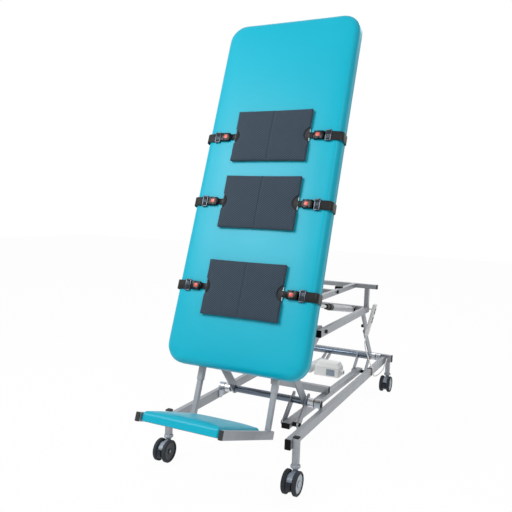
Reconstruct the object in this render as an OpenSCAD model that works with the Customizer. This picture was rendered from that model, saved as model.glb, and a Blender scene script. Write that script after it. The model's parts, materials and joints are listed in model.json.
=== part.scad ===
// Electric rehabilitation standing frame (tilt table), millimetres.
// X is across the bed, +Y points to the rear of the base, +Z is up.
// Places in the side plane are written from the front caster posts and the floor.

/* [Board] */
// Width of the padded board
board_w = 780; // [720:1:840]
// Length of the padded board
board_l = 1950; // [1900:1:2100]
// Thickness of the foam over the panel
foam_t = 50; // [40:1:56]
// Thickness of the plywood panel
panel_t = 15; // [10:1:18]
// Corner radius of the board outline
board_corner_r = 105; // [70:1:140]
// Lean of the board back from upright, in degrees
board_lean = 18.85; // [17:0.05:21]
// Distance of the board's lower front edge before the front posts
board_front = 27; // [20:1:40]
// Height of the board's lower front edge above the floor
board_z = 523; // [515:1:535]

/* [Footrest] */
// Distance from the board's lower edge to the middle of the footrest rails
foot_drop = 260; // [230:1:275]
// Reach of the footrest rails in front of the board
foot_reach = 370; // [300:1:420]
// Reach of the footrest rails behind the board's front face
foot_back = 165; // [150:1:175]
// Distance between the middles of the footrest rails
foot_gauge = 414; // [408:1:414]
// Height of a footrest rail
foot_rail_h = 40; // [32:1:46]
// Thickness of a footrest rail
foot_rail_t = 20; // [15:1:22]
// Width of a square footrest post
foot_post_w = 25; // [20:0.5:25]
// Thickness of the footrest cushion
foot_pad_t = 44; // [36:1:50]

/* [Base] */
// Distance between the middles of the base rails
rail_gauge = 650; // [640:1:700]
// Height of the base rails' top above the floor
rail_top = 255; // [248:1:258]
// Height of a base rail's section
rail_h = 50; // [40:1:55]
// Width of a base rail's section
rail_w = 30; // [25:1:34]
// Wheelbase between the front and rear caster posts
wheelbase = 1800; // [1798:1:1900]
// Overhang of the base rails in front of the posts
rail_nose = 32; // [20:1:60]
// Overhang of the rear crossbar past the caster posts
rear_overhang = 15; // [8:1:30]
// Wall thickness of the square and flat tubes
tube_wall = 2; // [1.5:0.1:3]
// Width of the square frame tubes
tube_w = 30; // [28:1:32]

/* [Casters] */
// Caster wheel diameter
wheel_d = 114; // [100:1:114]
// Caster height from floor to post
caster_h = 130; // [128:1:140]
// Width of one caster wheel
tyre_w = 21; // [16:1:24]
// Trail of the caster axle from its swivel axis
caster_trail = 34; // [28:1:38]

/* [Lift] */
// Distance of the front lift shaft behind the front posts
front_shaft_y = 460; // [445:1:475]
// Height of the front lift shaft
front_shaft_z = 274; // [272:1:280]
// Distance of the rear lift shaft in front of the rear caster posts
rear_shaft_in = 43; // [43:1:55]
// Height of the rear lift shaft
rear_shaft_z = 249; // [247:1:256]
// Diameter of the lift shafts
shaft_d = 38; // [34:1:40]
// Forward reach of the lift arms at rest
arm_dy = 196; // [192:1:200]
// Rise of the lift arms at rest
arm_dz = 222; // [216:1:228]
// Forward reach of the lift cranks at rest
crank_dy = 107; // [102:1:112]
// Drop of the lift cranks at rest
crank_dz = 96; // [92:1:98]
// Thickness of the arm and crank plates
plate_t = 8; // [6:0.5:8]
// Width of the arm plates
arm_w = 54; // [46:1:54]
// Width of the tie rod
tie_w = 46; // [40:1:46]
// Height of the tie rod
tie_h = 30; // [25:1:32]

/* [Carriage] */
// Distance between the middles of the carriage side bars
mid_gauge = 530; // [530:1:540]
// Height of the middle of the carriage side bars
mid_z = 646; // [642:1:650]
// Height of a carriage side bar's section
mid_h = 40; // [36:1:44]
// Front end of the carriage side bars behind the front posts
mid_y0 = 500; // [480:1:520]
// Place of the carriage's rear posts in front of the rear caster posts
carriage_post_in = 350; // [345:1:360]
// Height of the middle of the upper frame
upper_z = 806; // [800:1:808]
// Half length of the upper rear crossbar
upper_half = 335; // [320:1:350]
// Distance between the middles of the upper side bars
upper_gauge = 350; // [346:1:352]
// Front end of the upper side bars behind the front posts
upper_y0 = 745; // [740:1:780]
// Place of the tilt pivot behind the front posts
tilt_y = 272; // [269:1:275]
// Height of the tilt pivot
tilt_z = 700; // [697:1:703]

/* [Straps] */
// Room beside a strap pad for its buckle and slider
strap_side = 175; // [170:1:185]
// Height of a strap pad
pad_h = 288; // [260:1:300]
// Thickness of a strap pad
pad_t = 20; // [14:1:24]
// Width of the webbing
web_w = 48; // [40:1:50]
// Thickness of the webbing
web_t = 2.4; // [1.5:0.1:3]

/* [Hidden] */
$fn = 32;

// Overrun of every cut past the face that it opens, and of pieces sunk into each other
cut = 1;
// Gap between neighbours that rest on each other or pass closely
gap = 0.3;
// Radial clearance of a pin or shaft in its bore
fit_gap = 0.05;
// Outer corner radius of the steel tubes
tube_r = 3;
// Thickness of the flange of a push-in cap, and the depth of its plug
cap_t = 4;
cap_plug = 12;

// Base
rail_x = rail_gauge / 2;
rail_in_x = rail_x - rail_w / 2;
post_x = rail_x + (rail_w + tube_w) / 2;
rail_z = rail_top - rail_h / 2;
rear_bar_rise = 10;
rear_bar_z = rail_z + rear_bar_rise;
rear_bar_half = post_x + tube_w / 2 + rear_overhang;
rear_face_y = wheelbase - tube_w / 2;
post_proud = 3;
tie_band_y = 1390;
tie_band_w = 14;
tie_band_t = 1.5;

// Casters
wheel_r = wheel_d / 2;
hood_w = 30;
hood_in = 14;
hood_r = wheel_r - hood_in;
hood_neck_r = 13;
collar_r = 24;
collar_z = wheel_d + cut;
collar_round = 3;
stem_pin_r = 7;
stem_pin_l = 45;
stem_plug_l = 30;
axle_r = 5;
wheel_gap = 1;
tread_round = 4;
rim_depth = 12;
disc_dish = 3;
disc_hollow = 5;
hub_r = 14;
pedal_w = 24;
pedal_t = 12;
pedal_from = 158;
pedal_to = 206;

// Shafts, arms and cranks
shaft_r = shaft_d / 2;
shaft_wall = 4;
shaft_plug_t = 6;
shaft_half = rail_in_x - shaft_plug_t - gap;
bearing_wall = 6;
bearing_r = shaft_r + bearing_wall;
bearing_l = 34;
bearing_plate_t = 6;
hub_gap = 4;
hub_l = 33;
hub_x = rail_in_x - bearing_l - hub_gap - hub_l;
front_arm_x = 215;
arm_tail_r = 15;
front_arm_tail = 18;
crank_in_x = 140;
crank_out_x = 226;
rear_arm_x = crank_out_x + plate_t + gap;
crank_w = 46;
crank_tail_r = 14;
front_crank_tail = 36;
pin_r = 8;
bolt_head_r = 11;
bolt_head_t = 8;
spacer_r = 12;
tie_x = 172;
tie_nose = 46;
tie_tail = 40;
stub_w = 40;
stub_in = 850;
stub_y = wheelbase - stub_in;
stub_left = -200;
stub_right = 190;

// Pivots of the lift linkage in the side plane, as [y, z]
front_shaft = [front_shaft_y, front_shaft_z];
rear_shaft = [wheelbase - rear_shaft_in, rear_shaft_z];
front_pivot = front_shaft + [-arm_dy, arm_dz];
rear_pivot = rear_shaft + [-arm_dy, arm_dz];
front_pin = front_shaft - [crank_dy, crank_dz];
rear_pin = rear_shaft - [crank_dy, crank_dz];
tie_slope = atan2(rear_pin[1] - front_pin[1], rear_pin[0] - front_pin[0]);
tie_run = norm(rear_pin - front_pin);
stub_z = front_pin[1] + (stub_y - front_pin[0]) * tan(tie_slope) + (tie_h + stub_w) / 2 - cut;

// Carriage
mid_x = mid_gauge / 2;
post_y = wheelbase - carriage_post_in;
mid_in_x = mid_x - tube_w / 2;
rear_top_z = mid_z + mid_h / 2;
rear_low_z = rear_top_z - tube_w / 2 - cut;
hanger_t = 8;
hanger_x = mid_in_x - hanger_t / 2;
hanger_w = 60;
hanger_bolt_back = 73;
hanger_bolt_up = 3;
hanger_bolt = [mid_y0 + hanger_bolt_back, mid_z + hanger_bolt_up];
hanger_rear_front = 20;
hanger_rear_down = 12;
hanger_rear_bolt = [post_y - hanger_rear_front, mid_z - hanger_rear_down];
knob_back = 45;
knob_down = 126;
knob_at = [post_y + knob_back, mid_z - knob_down];
upper_x = upper_gauge / 2;
upper_mid_in = 425;
upper_mid_y = post_y - upper_mid_in;
bumper_in = 320;
bumper_y = post_y - bumper_in;
bumper_w = 32;
bumper_drop = 16;
tilt_pivot = [tilt_y, tilt_z];
tilt_bracket_x = 230;
tilt_pin_r = 10;

// Actuators
act_r = 21;
act_bore_wall = 5;
act_eye_r = 16;
act_eye_w = 24;
act_side_gap = 2;
act_ear_t = 6;
act_ear_r = act_eye_r + act_side_gap;
act_ear_x = act_eye_w / 2 + act_side_gap + act_ear_t / 2;
act_neck = 20;
act_gland_l = 50;
act_gland_r = 17;
tilt_rod_r = 11;
tilt_rod_in = 260;
tilt_act_x = upper_x;
tilt_act_back = 35;
tilt_act_low = 3;
tilt_act_rear = [post_y - tube_w / 2 - tilt_act_back, mid_z - tilt_act_low];
tilt_act_pin_back = 40;
tilt_act_pin_rise = 146;
tilt_act_front = tilt_pivot + [-tilt_act_pin_back, tilt_act_pin_rise];
tilt_act_l = 500;
lift_rod_r = 10;
lift_rod_in = 130;
lift_act_x = -110;
lift_act_back = 100;
lift_act_rise = 22;
lift_act_rear = [wheelbase - lift_act_back, rear_pin[1] + lift_act_rise];
lift_act_reach = 60;
lift_act_front = [stub_y + lift_act_reach, stub_z + tube_r];
lift_act_l = 510;
motor_r = 32;
motor_from = 46;
motor_l = 255;

// Control box beside the lift actuator
box_w = 180;
box_d = 110;
box_h = 62;
box_lid_h = 33;
box_lid_in = 16;
box_r = 8;
box_gap = 4;
box_x0 = lift_act_x + motor_r + box_gap;
box_in = 350;
box_y = wheelbase - box_in;
box_z0 = 150;
box_boss_w = 50;
box_boss_up = 22;
box_boss_h = 34;
box_boss_z = [box_z0 + box_boss_up, box_z0 + box_boss_up + box_boss_h];
socket_r = 15;
socket_hole_r = 8;
socket_l = 22;
label_w = 62;
label_h = 46;
label_t = 0.8;

// Handset hung on the rear end of the right side bar
hand_w = 50;
hand_t = 22;
hand_l = 225;
hand_r = 8;
hand_lean = 13;
hand_gap = 5;
hand_x = 314;
hand_rise = 32;
hand_top = mid_z + hand_rise;
hand_y = post_y + tube_w / 2 + cap_t + hand_gap + hand_w / 2;
hook_h = 8;
key_w = 26;
key_l = 40;
key_sink = 3;
key_proud = 2;
key_clear = 2;
key_scoop_r = 30;
key_down = [48, 112];

// Board frame: x across, y behind the front face, z up the board
panel_back = foam_t + panel_t;
sub_back = panel_back + tube_w;
sub_from = 70;
sub_margin = 90;
sub_to = board_l - sub_margin;
sub_cross_half = 245;
board_edge_r = 20;
foam_side_in = 2;
board_crown = 5;
board_crown_shares = [0.85, 0.65, 0.4, 0.15];
panel_in = 5;
lean_s = sin(board_lean);
lean_c = cos(board_lean);
act_pin_u = (tilt_act_front[0] + board_front) * lean_s + (tilt_act_front[1] - board_z) * lean_c;
act_pin_o = (tilt_act_front[0] + board_front) * lean_c - (tilt_act_front[1] - board_z) * lean_s;
pivot_u = (tilt_y + board_front) * lean_s + (tilt_z - board_z) * lean_c;
pivot_o = (tilt_y + board_front) * lean_c - (tilt_z - board_z) * lean_s;
pivot_plate_r = 24;
sub_cross_low = 150;
sub_cross_mid = 1000;
sub_cross_in = 60;
sub_cross = [sub_cross_low, act_pin_u, sub_cross_mid, sub_to - sub_cross_in];

// Footrest
foot_x = foot_gauge / 2;
sleeve_gap = 0.5;
sleeve_w = foot_post_w + 2 * (tube_wall + sleeve_gap);
sleeve_o = sub_back + sleeve_w / 2;
sleeve_low = -62;
sleeve_high = 300;
post_high = 200;
foot_strip_w = 30;
foot_strip_t = 6;
foot_strip_shares = [0.12, 0.45, 0.77];
foot_pad_crown = 12;
foot_pad_r = 16;
foot_pad_gap = 2;
foot_pad_back = 40;
foot_pad_lip = 4;
foot_pad_draw = 3;
foot_pad_roll = 20;
// Steps of the footrest cushion's rim, as [inward share, height share] of its roll and thickness
foot_roll_shares = [[0, 0.35], [0.15, 0.6], [0.5, 0.8], [1, 0.9]];

// Straps, with heights measured up the board from its lower edge
chest_u = 1232;
hip_u = 862;
knee_u = 402;
strap_u = [chest_u, hip_u, knee_u];
pad_w = board_w - 2 * strap_side;
face_o = -board_crown - gap;
pad_shift = 6;
pad_stand = 4;
pad_crown = 10;
pad_crown_shares = [1, 0.94, 0.8, 0.6, 0.35, 0.1];
pad_top_shares = [0.85, 0.66, 0.46, 0.26, 0.1, 0.02];
pad_lip_share = 0.25;
seam_share = 0.5;
notch_r = 44;
notch_deep = 28;
ring_r = 3;
ring_in = 4;
ring_clear = 1;
tongue_w = 22;
tongue_t = 3;
tongue_hook = 6;
buckle_gap = 27;
buckle_x0 = pad_w / 2 + buckle_gap;
buckle_l = 54;
buckle_w = 44;
buckle_t = 18;
buckle_r = 6;
strap_o = face_o - buckle_t / 2;
slider_gap = 6;
slider_x0 = buckle_x0 + buckle_l + slider_gap;
slider_l = 32;
slider_w = 60;
slider_t = 12;
slider_slot = 6;
button_share = 0.42;
button_x = buckle_x0 + buckle_l * button_share;
button_l = 20;
button_w = 18;
button_deep = 6;
button_rise = 2.5;
button_travel = 3;
web_anchor_in = 90;
web_anchor_x = board_w / 2 - web_anchor_in;
web_clear = 1.2;
web_fold_r = 8;
web_dip = 5;

// Cords, as round numbers along their routes, behind the front posts and over the floor
cord_r = 4;
cord_sides = 8;
cord_upper_route = [
    [263, 1499, 459], [261, 1499, 449], [258, 1499, 434], [256, 1499, 416], [255, 1499, 398],
    [257, 1499, 380], [260, 1499, 364], [264, 1499, 350], [270, 1499, 334], [276, 1499, 320],
    [283, 1497, 306], [292, 1486, 292], [303, 1468, 281], [315, 1444, 272], [327, 1420, 266],
    [336, 1402, 263], [346, 1393, 260], [349, 1390, 249], [350, 1390, 236]
];
cord_loop_route = [
    [350, 1390, 235], [350, 1393, 224], [350, 1402, 212], [350, 1420, 201], [350, 1450, 192],
    [350, 1498, 184], [351, 1560, 179], [351, 1620, 179], [352, 1665, 186], [352, 1700, 198],
    [352, 1730, 215], [352, 1752, 230], [352, 1770, 238], [352, 1785, 240]
];

// Middle of the footprint, so that the origin is under the middle of the whole frame
foot_low = -foot_drop - foot_rail_h / 2;
front_limit = -board_front + foot_low * lean_s - (foot_reach + cap_t) * lean_c;
back_limit = max(wheelbase + tube_w / 2, wheelbase - caster_trail + wheel_r);
origin_y = (front_limit + back_limit) / 2;

// Small helpers

module box(x, y, z) {
    translate([x[0], y[0], z[0]]) cube([x[1] - x[0], y[1] - y[0], z[1] - z[0]]);
}

module round_rect(w, h, r) {
    square([w - 2 * r, h], center = true);
    square([w, h - 2 * r], center = true);
    for (x = [-1, 1], y = [-1, 1]) translate([x * (w / 2 - r), y * (h / 2 - r)]) circle(r);
}

module tube_section(w, h) {
    difference() {
        round_rect(w, h, tube_r);
        round_rect(w - 2 * tube_wall, h - 2 * tube_wall, tube_r - tube_wall / 2);
    }
}

// Tube along Y at [x, z], w across and h high
module tube_y(at, w, h, ends) {
    translate([at[0], ends[0], at[1]]) rotate([-90, 0, 0]) linear_extrude(ends[1] - ends[0]) tube_section(w, h);
}

// Tube along X at [y, z], w along Y and h high
module tube_x(at, w, h, ends) {
    translate([ends[0], at[0], at[1]]) rotate([90, 0, 90]) linear_extrude(ends[1] - ends[0]) tube_section(w, h);
}

// Tube along Z at [x, y]
module tube_z(at, w, h, ends) {
    translate([at[0], at[1], ends[0]]) linear_extrude(ends[1] - ends[0]) tube_section(w, h);
}

// Plate in the side plane: a flat child drawn as [y, z], t thick and centred on x
module side_plate(x, t) {
    translate([x - t / 2, 0, 0]) rotate([90, 0, 90]) linear_extrude(t) children();
}

// Round bar along X through the side-plane point p
module bar_x(p, r, ends) {
    translate([ends[0], p[0], p[1]]) rotate([0, 90, 0]) cylinder(h = ends[1] - ends[0], r = r);
}

// Flat bar with round ends from a to b, its sides set in a little so that they cross the rounds cleanly
module link(a, b, w) {
    d = b - a;
    side = w / 2 - min(gap, w / 8);
    translate(a) circle(w / 2);
    translate(b) circle(w / 2);
    translate(a) rotate(atan2(d[1], d[0])) translate([0, -side]) square([norm(d), 2 * side]);
}

// Push-in tube cap, its flange from 0 to cap_t along Z and its plug below
module cap(w, h) {
    linear_extrude(cap_t) round_rect(w, h, tube_r);
    translate([0, 0, -cap_plug]) linear_extrude(cap_plug)
        round_rect(w - 2 * tube_wall - gap, h - 2 * tube_wall - gap, tube_r - tube_wall / 2);
}

// Round bolt head at the side-plane point p, from x outwards to the given side
module bolt_head(p, x, side, t = bolt_head_t) {
    bar_x(p, bolt_head_r, side > 0 ? [x, x + t] : [x - t, x]);
}

// Pair of bracket ears for an actuator's eye, with a flat child drawn as [y, z]
module ears(x) {
    for (side = [-1, 1]) side_plate(x + side * act_ear_x, act_ear_t) children();
}

module on_board() {
    translate([0, -board_front - origin_y, board_z]) rotate([-board_lean, 0, 0]) children();
}

module in_frame() {
    translate([0, -origin_y, 0]) children();
}

module both_sides() {
    children();
    mirror([1, 0, 0]) children();
}

// Cushions: an outline is a list of [x, z, outward x, outward z, share of the side's draw]

function side_pts(a, b, n, out) =
    [for (i = [1 : n]) let (t = i / (n + 1)) [a[0] + (b[0] - a[0]) * t, a[1] + (b[1] - a[1]) * t,
        out[0], out[1], sin(180 * t)]];

function corner_pts(c, r, from, n) =
    [for (i = [0 : n]) let (a = from + 90 * i / n) [c[0] + r * cos(a), c[1] + r * sin(a), cos(a), sin(a), 0]];

function round_outline(w, h, r, nw, nh, na) =
    let (x = w / 2, z = h / 2, cx = x - r, cz = z - r)
    concat(
        side_pts([x, -cz], [x, cz], nh, [1, 0]), corner_pts([cx, cz], r, 0, na),
        side_pts([cx, z], [-cx, z], nw, [0, 1]), corner_pts([-cx, cz], r, 90, na),
        side_pts([-x, cz], [-x, -cz], nh, [-1, 0]), corner_pts([-cx, -cz], r, 180, na),
        side_pts([-cx, -z], [cx, -z], nw, [0, -1]), corner_pts([cx, -cz], r, 270, na));

// Ring of a cushion: the outline moved in by inset and draw, then scaled about the middle, at a depth
function ring_at(outline, inset, draw, scale, depth) =
    [for (q = outline) [
        (q[0] - q[2] * (inset + draw * q[4])) * scale, depth,
        (q[1] - q[3] * (inset + draw * q[4])) * scale]];

function middle(ring) = [for (k = [0 : 2]) [for (p = ring) p[k]] * [for (p = ring) 1] / len(ring)];

// Closed skin of triangles over a stack of rings, with a fan on the first and the last
module skin(rings) {
    n = len(rings[0]);
    m = len(rings);
    polyhedron(
        points = concat([for (ring = rings) for (p = ring) p], [middle(rings[0]), middle(rings[m - 1])]),
        faces = concat(
            [for (k = [0 : m - 2], i = [0 : n - 1]) [k * n + i, (k + 1) * n + i, k * n + (i + 1) % n]],
            [for (k = [0 : m - 2], i = [0 : n - 1])
                [k * n + (i + 1) % n, (k + 1) * n + i, (k + 1) * n + (i + 1) % n]],
            [for (i = [0 : n - 1]) [m * n, i, (i + 1) % n]],
            [for (i = [0 : n - 1]) [m * n + 1, (m - 1) * n + (i + 1) % n, (m - 1) * n + i]]),
        convexity = 4);
}

// Base

module base_rail(side) {
    color("silver") in_frame()
        tube_y([side * rail_x, rail_z], rail_w, rail_h, [-rail_nose, rear_face_y]);
}

module base_rear_crossbar() {
    bar_bottom = rear_bar_z - rail_h / 2;
    color("silver") in_frame() difference() {
        union() {
            tube_x([wheelbase, rear_bar_z], tube_w, rail_h, [-rear_bar_half + cap_t, rear_bar_half - cap_t]);
            ears(lift_act_x) intersection() {
                link(lift_act_rear, [wheelbase, bar_bottom], 2 * act_ear_r);
                square([wheelbase + tube_w / 2 - tube_r, bar_bottom + cut]);
            }
        }
        bar_x(lift_act_rear, pin_r + fit_gap, [lift_act_x - rail_h, lift_act_x + rail_h]);
    }
}

module caster_posts() {
    color("silver") in_frame() both_sides() {
        tube_z([post_x, 0], tube_w, tube_w, [caster_h, rail_top + post_proud]);
        tube_z([post_x, wheelbase], tube_w, tube_w, [caster_h, rear_bar_z - rail_h / 2]);
    }
}

module base_caps_and_bolts() {
    plate_x = act_ear_x + act_ear_t / 2;
    color("#202224") in_frame() {
        both_sides() {
            translate([rail_x, -rail_nose, rail_z]) rotate([90, 0, 0]) cap(rail_w, rail_h);
            translate([post_x, 0, rail_top + post_proud]) cap(tube_w, tube_w);
            translate([rear_bar_half - cap_t, wheelbase, rear_bar_z]) rotate([90, 0, 90]) cap(tube_w, rail_h);
            for (p = [front_shaft, rear_shaft])
                bar_x(p, shaft_r - gap, [rail_in_x - shaft_plug_t, rail_in_x - gap / 2]);
        }
        bar_x(lift_act_rear, pin_r, [lift_act_x - plate_x, lift_act_x + plate_x]);
        bolt_head(lift_act_rear, lift_act_x + plate_x, 1);
        bolt_head(lift_act_rear, lift_act_x - plate_x, -1);
        // Band that ties the handset's lead to the right rail
        translate([rail_x, tie_band_y - tie_band_w / 2, rail_z]) rotate([-90, 0, 0])
            linear_extrude(tie_band_w) difference() {
                round_rect(rail_w + 2 * tie_band_t, rail_h + 2 * tie_band_t, tube_r + tie_band_t);
                round_rect(rail_w + 2 * fit_gap, rail_h + 2 * fit_gap, tube_r + fit_gap);
            }
    }
}

module shaft_bearings() {
    color("silver") in_frame() both_sides() for (p = [front_shaft, rear_shaft]) difference() {
        union() {
            bar_x(p, bearing_r, [rail_in_x - bearing_l, rail_in_x]);
            side_plate(rail_in_x - bearing_plate_t / 2, bearing_plate_t) link([p[0], rail_z], p, 2 * bearing_r);
        }
        bar_x(p, shaft_r + fit_gap, [rail_in_x - bearing_l - cut, rail_in_x + cut]);
    }
}

module caster_stems() {
    color("lightslategray") in_frame() both_sides() for (y = [0, wheelbase]) translate([post_x, y, 0]) {
        translate([0, 0, collar_z - stem_pin_l]) cylinder(h = stem_pin_l + cut, r = stem_pin_r);
        rotate_extrude() polygon([
            [0, collar_z], [collar_r - collar_round, collar_z], [collar_r, collar_z + collar_round],
            [collar_r, caster_h - collar_round], [collar_r - collar_round, caster_h], [0, caster_h]]);
        translate([0, 0, caster_h - cut])
            cylinder(h = stem_plug_l + cut, r = tube_w / 2 - tube_wall - gap);
    }
}

module caster_place(front, side) {
    in_frame() translate([side * post_x, front ? 0 : wheelbase, 0]) children();
}

module caster_hood(front, side) {
    axle = [-caster_trail, wheel_r];
    half = hood_w / 2 + wheel_gap + tyre_w - disc_dish / 2;
    color("lightsteelblue") caster_place(front, side) difference() {
        union() {
            side_plate(0, hood_w) translate(axle) circle(hood_r, $fn = 64);
            translate([0, 0, wheel_r]) cylinder(h = collar_z - gap - wheel_r, r = hood_neck_r);
            translate([-hood_neck_r, -caster_trail, wheel_r])
                cube([2 * hood_neck_r, caster_trail, hood_r - cut]);
            bar_x(axle, axle_r, [-half, half]);
        }
        translate([0, 0, collar_z - stem_pin_l - gap]) cylinder(h = stem_pin_l + cut, r = stem_pin_r + fit_gap);
    }
}

// Brake pedal: a sector of a ring round the front of the hood that swings about the axle
module caster_pedal(front, side) {
    axle = [-caster_trail, wheel_r];
    r_in = hood_r + gap;
    r_out = r_in + pedal_t - gap;
    steps = 8;
    angles = [for (i = [0 : steps]) pedal_from + (pedal_to - pedal_from) * i / steps];
    color("#2b3440") caster_place(front, side) side_plate(0, pedal_w) translate(axle) difference() {
        polygon(concat(
            [for (a = angles) r_out * [cos(a), sin(a)]],
            [for (i = [steps : -1 : 0]) (r_in - pedal_t) * [cos(angles[i]), sin(angles[i])]]));
        circle(r_in, $fn = 64);
    }
}

module caster_wheel(front, side, outer) {
    x0 = hood_w / 2 + wheel_gap;
    x1 = x0 + tyre_w;
    out = side * (outer ? 1 : -1);
    rim_r = wheel_r - rim_depth;
    color("lightslategray") caster_place(front, side) translate([0, -caster_trail, wheel_r])
        rotate([0, out * 90, 0]) rotate_extrude($fn = 72) polygon([
            [axle_r + fit_gap, x0], [wheel_r - tread_round, x0], [wheel_r, x0 + tread_round],
            [wheel_r, x1 - tread_round], [wheel_r - tread_round, x1], [rim_r, x1],
            [rim_r, x1 - disc_dish], [hub_r + disc_dish, x1 - disc_hollow], [hub_r, x1 - disc_dish / 2],
            [axle_r + fit_gap, x1 - disc_dish / 2]]);
}

// Lift linkage

module lift_shaft(p) {
    color("lightgray") in_frame() {
        difference() {
            bar_x(p, shaft_r, [-shaft_half, shaft_half]);
            bar_x(p, shaft_r - shaft_wall, [-shaft_half - cut, shaft_half + cut]);
        }
        both_sides() difference() {
            bar_x(p, bearing_r, [hub_x, hub_x + hub_l]);
            bar_x(p, shaft_r - cut, [hub_x - cut, hub_x + hub_l + cut]);
        }
    }
}

// Plate on a shaft with a pin at its far end and a tail past the shaft
module shaft_plate(shaft, pin, x, w, tail, tail_r) {
    dir = (shaft - pin) / norm(shaft - pin);
    difference() {
        side_plate(x, plate_t) {
            link(pin, shaft, w);
            if (tail > 0) link(shaft, shaft + dir * tail, 2 * tail_r);
        }
        bar_x(shaft, shaft_r + fit_gap, [x - plate_t, x + plate_t]);
        bar_x(pin, pin_r + fit_gap, [x - plate_t, x + plate_t]);
    }
}

module lift_arms(shaft, pivot, x, tail) {
    color("silver") in_frame() both_sides() shaft_plate(shaft, pivot, x, arm_w, tail, arm_tail_r);
}

module lift_cranks(shaft, pin, tail) {
    color("silver") in_frame() for (x = [crank_in_x, crank_out_x])
        shaft_plate(shaft, pin, x, crank_w, tail, crank_tail_r);
}

module on_tie_rod() {
    translate([tie_x, front_pin[0], front_pin[1]]) rotate([tie_slope, 0, 0]) children();
}

module tie_rod() {
    stub_face = stub_y + stub_w / 2;
    color("silver") in_frame() difference() {
        union() {
            on_tie_rod() tube_y([0, 0], tie_w, tie_h, [-tie_nose, tie_run + tie_tail]);
            tube_x([stub_y, stub_z], stub_w, stub_w, [stub_left + cap_t, stub_right]);
            ears(lift_act_x) {
                translate(lift_act_front) circle(act_ear_r);
                translate([stub_face, lift_act_front[1] - act_ear_r])
                    square([lift_act_front[0] - stub_face, 2 * act_ear_r]);
            }
        }
        for (p = [front_pin, rear_pin]) bar_x(p, pin_r + fit_gap, [tie_x - tie_w, tie_x + tie_w]);
        bar_x(lift_act_front, pin_r + fit_gap, [lift_act_x - stub_w, lift_act_x + stub_w]);
    }
}

module tie_rod_caps_and_bolts() {
    x_in = crank_in_x - plate_t / 2;
    x_out = crank_out_x + plate_t / 2;
    color("#202224") in_frame() {
        on_tie_rod() {
            translate([0, -tie_nose, 0]) rotate([90, 0, 0]) cap(tie_w, tie_h);
            translate([0, tie_run + tie_tail, 0]) rotate([-90, 0, 0]) cap(tie_w, tie_h);
        }
        translate([stub_left + cap_t, stub_y, stub_z]) rotate([90, 0, -90]) cap(stub_w, stub_w);
        for (p = [front_pin, rear_pin]) {
            bar_x(p, pin_r, [x_in, x_out]);
            bolt_head(p, x_in, -1);
            bolt_head(p, x_out, 1);
            bar_x(p, spacer_r, [tie_x + tie_w / 2 + gap, crank_out_x - plate_t / 2 - gap]);
        }
        for (side = [-1, 1]) {
            inner = lift_act_x + side * (act_ear_x - act_ear_t / 2);
            outer = lift_act_x + side * (act_ear_x + act_ear_t / 2);
            bar_x(lift_act_front, pin_r, [min(inner, outer), max(inner, outer)]);
            bolt_head(lift_act_front, outer, side);
        }
    }
}

// Telescopic actuators: drawn along +Y from the rear pivot and turned to their line

module along(rear, front, x) {
    d = front - rear;
    translate([x, rear[0], rear[1]]) rotate([atan2(d[1], d[0]), 0, 0]) children();
}

module rod_y(r, ends) {
    translate([0, ends[0], 0]) rotate([-90, 0, 0]) cylinder(h = ends[1] - ends[0], r = r);
}

module actuator_body(length, rod_r) {
    difference() {
        union() {
            rod_y(act_r, [act_neck, length]);
            rod_y(act_gland_r, [length - cut, length + act_gland_l]);
            bar_x([0, 0], act_eye_r, [-act_eye_w / 2, act_eye_w / 2]);
            translate([-act_eye_w / 2, 0, -act_eye_r]) cube([act_eye_w, act_neck + cut, 2 * act_eye_r]);
        }
        bar_x([0, 0], pin_r + fit_gap, [-act_eye_w, act_eye_w]);
        rod_y(rod_r + fit_gap, [act_neck + act_bore_wall, length + act_gland_l + cut]);
    }
}

module actuator_rod(from, to, rod_r) {
    difference() {
        union() {
            rod_y(rod_r, [from, to - act_eye_r / 2]);
            bar_x([to, 0], act_eye_r, [-act_eye_w / 2, act_eye_w / 2]);
        }
        bar_x([to, 0], pin_r + fit_gap, [-act_eye_w, act_eye_w]);
    }
}

module tilt_actuator() {
    color("gainsboro") in_frame() along(tilt_act_rear, tilt_act_front, tilt_act_x)
        actuator_body(tilt_act_l, tilt_rod_r);
}

module tilt_actuator_rod() {
    color("darkgray") in_frame() along(tilt_act_rear, tilt_act_front, tilt_act_x)
        actuator_rod(tilt_act_l - tilt_rod_in, norm(tilt_act_front - tilt_act_rear), tilt_rod_r);
}

module lift_actuator() {
    color("whitesmoke") in_frame() along(lift_act_rear, lift_act_front, lift_act_x) {
        actuator_body(lift_act_l, lift_rod_r);
        difference() {
            rod_y(motor_r, [motor_from, motor_from + motor_l]);
            rod_y(act_r - cut, [motor_from - cut, motor_from + motor_l + cut]);
        }
    }
}

module lift_actuator_rod() {
    color("darkgray") in_frame() along(lift_act_rear, lift_act_front, lift_act_x)
        actuator_rod(lift_act_l - lift_rod_in, norm(lift_act_front - lift_act_rear), lift_rod_r);
}

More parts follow.
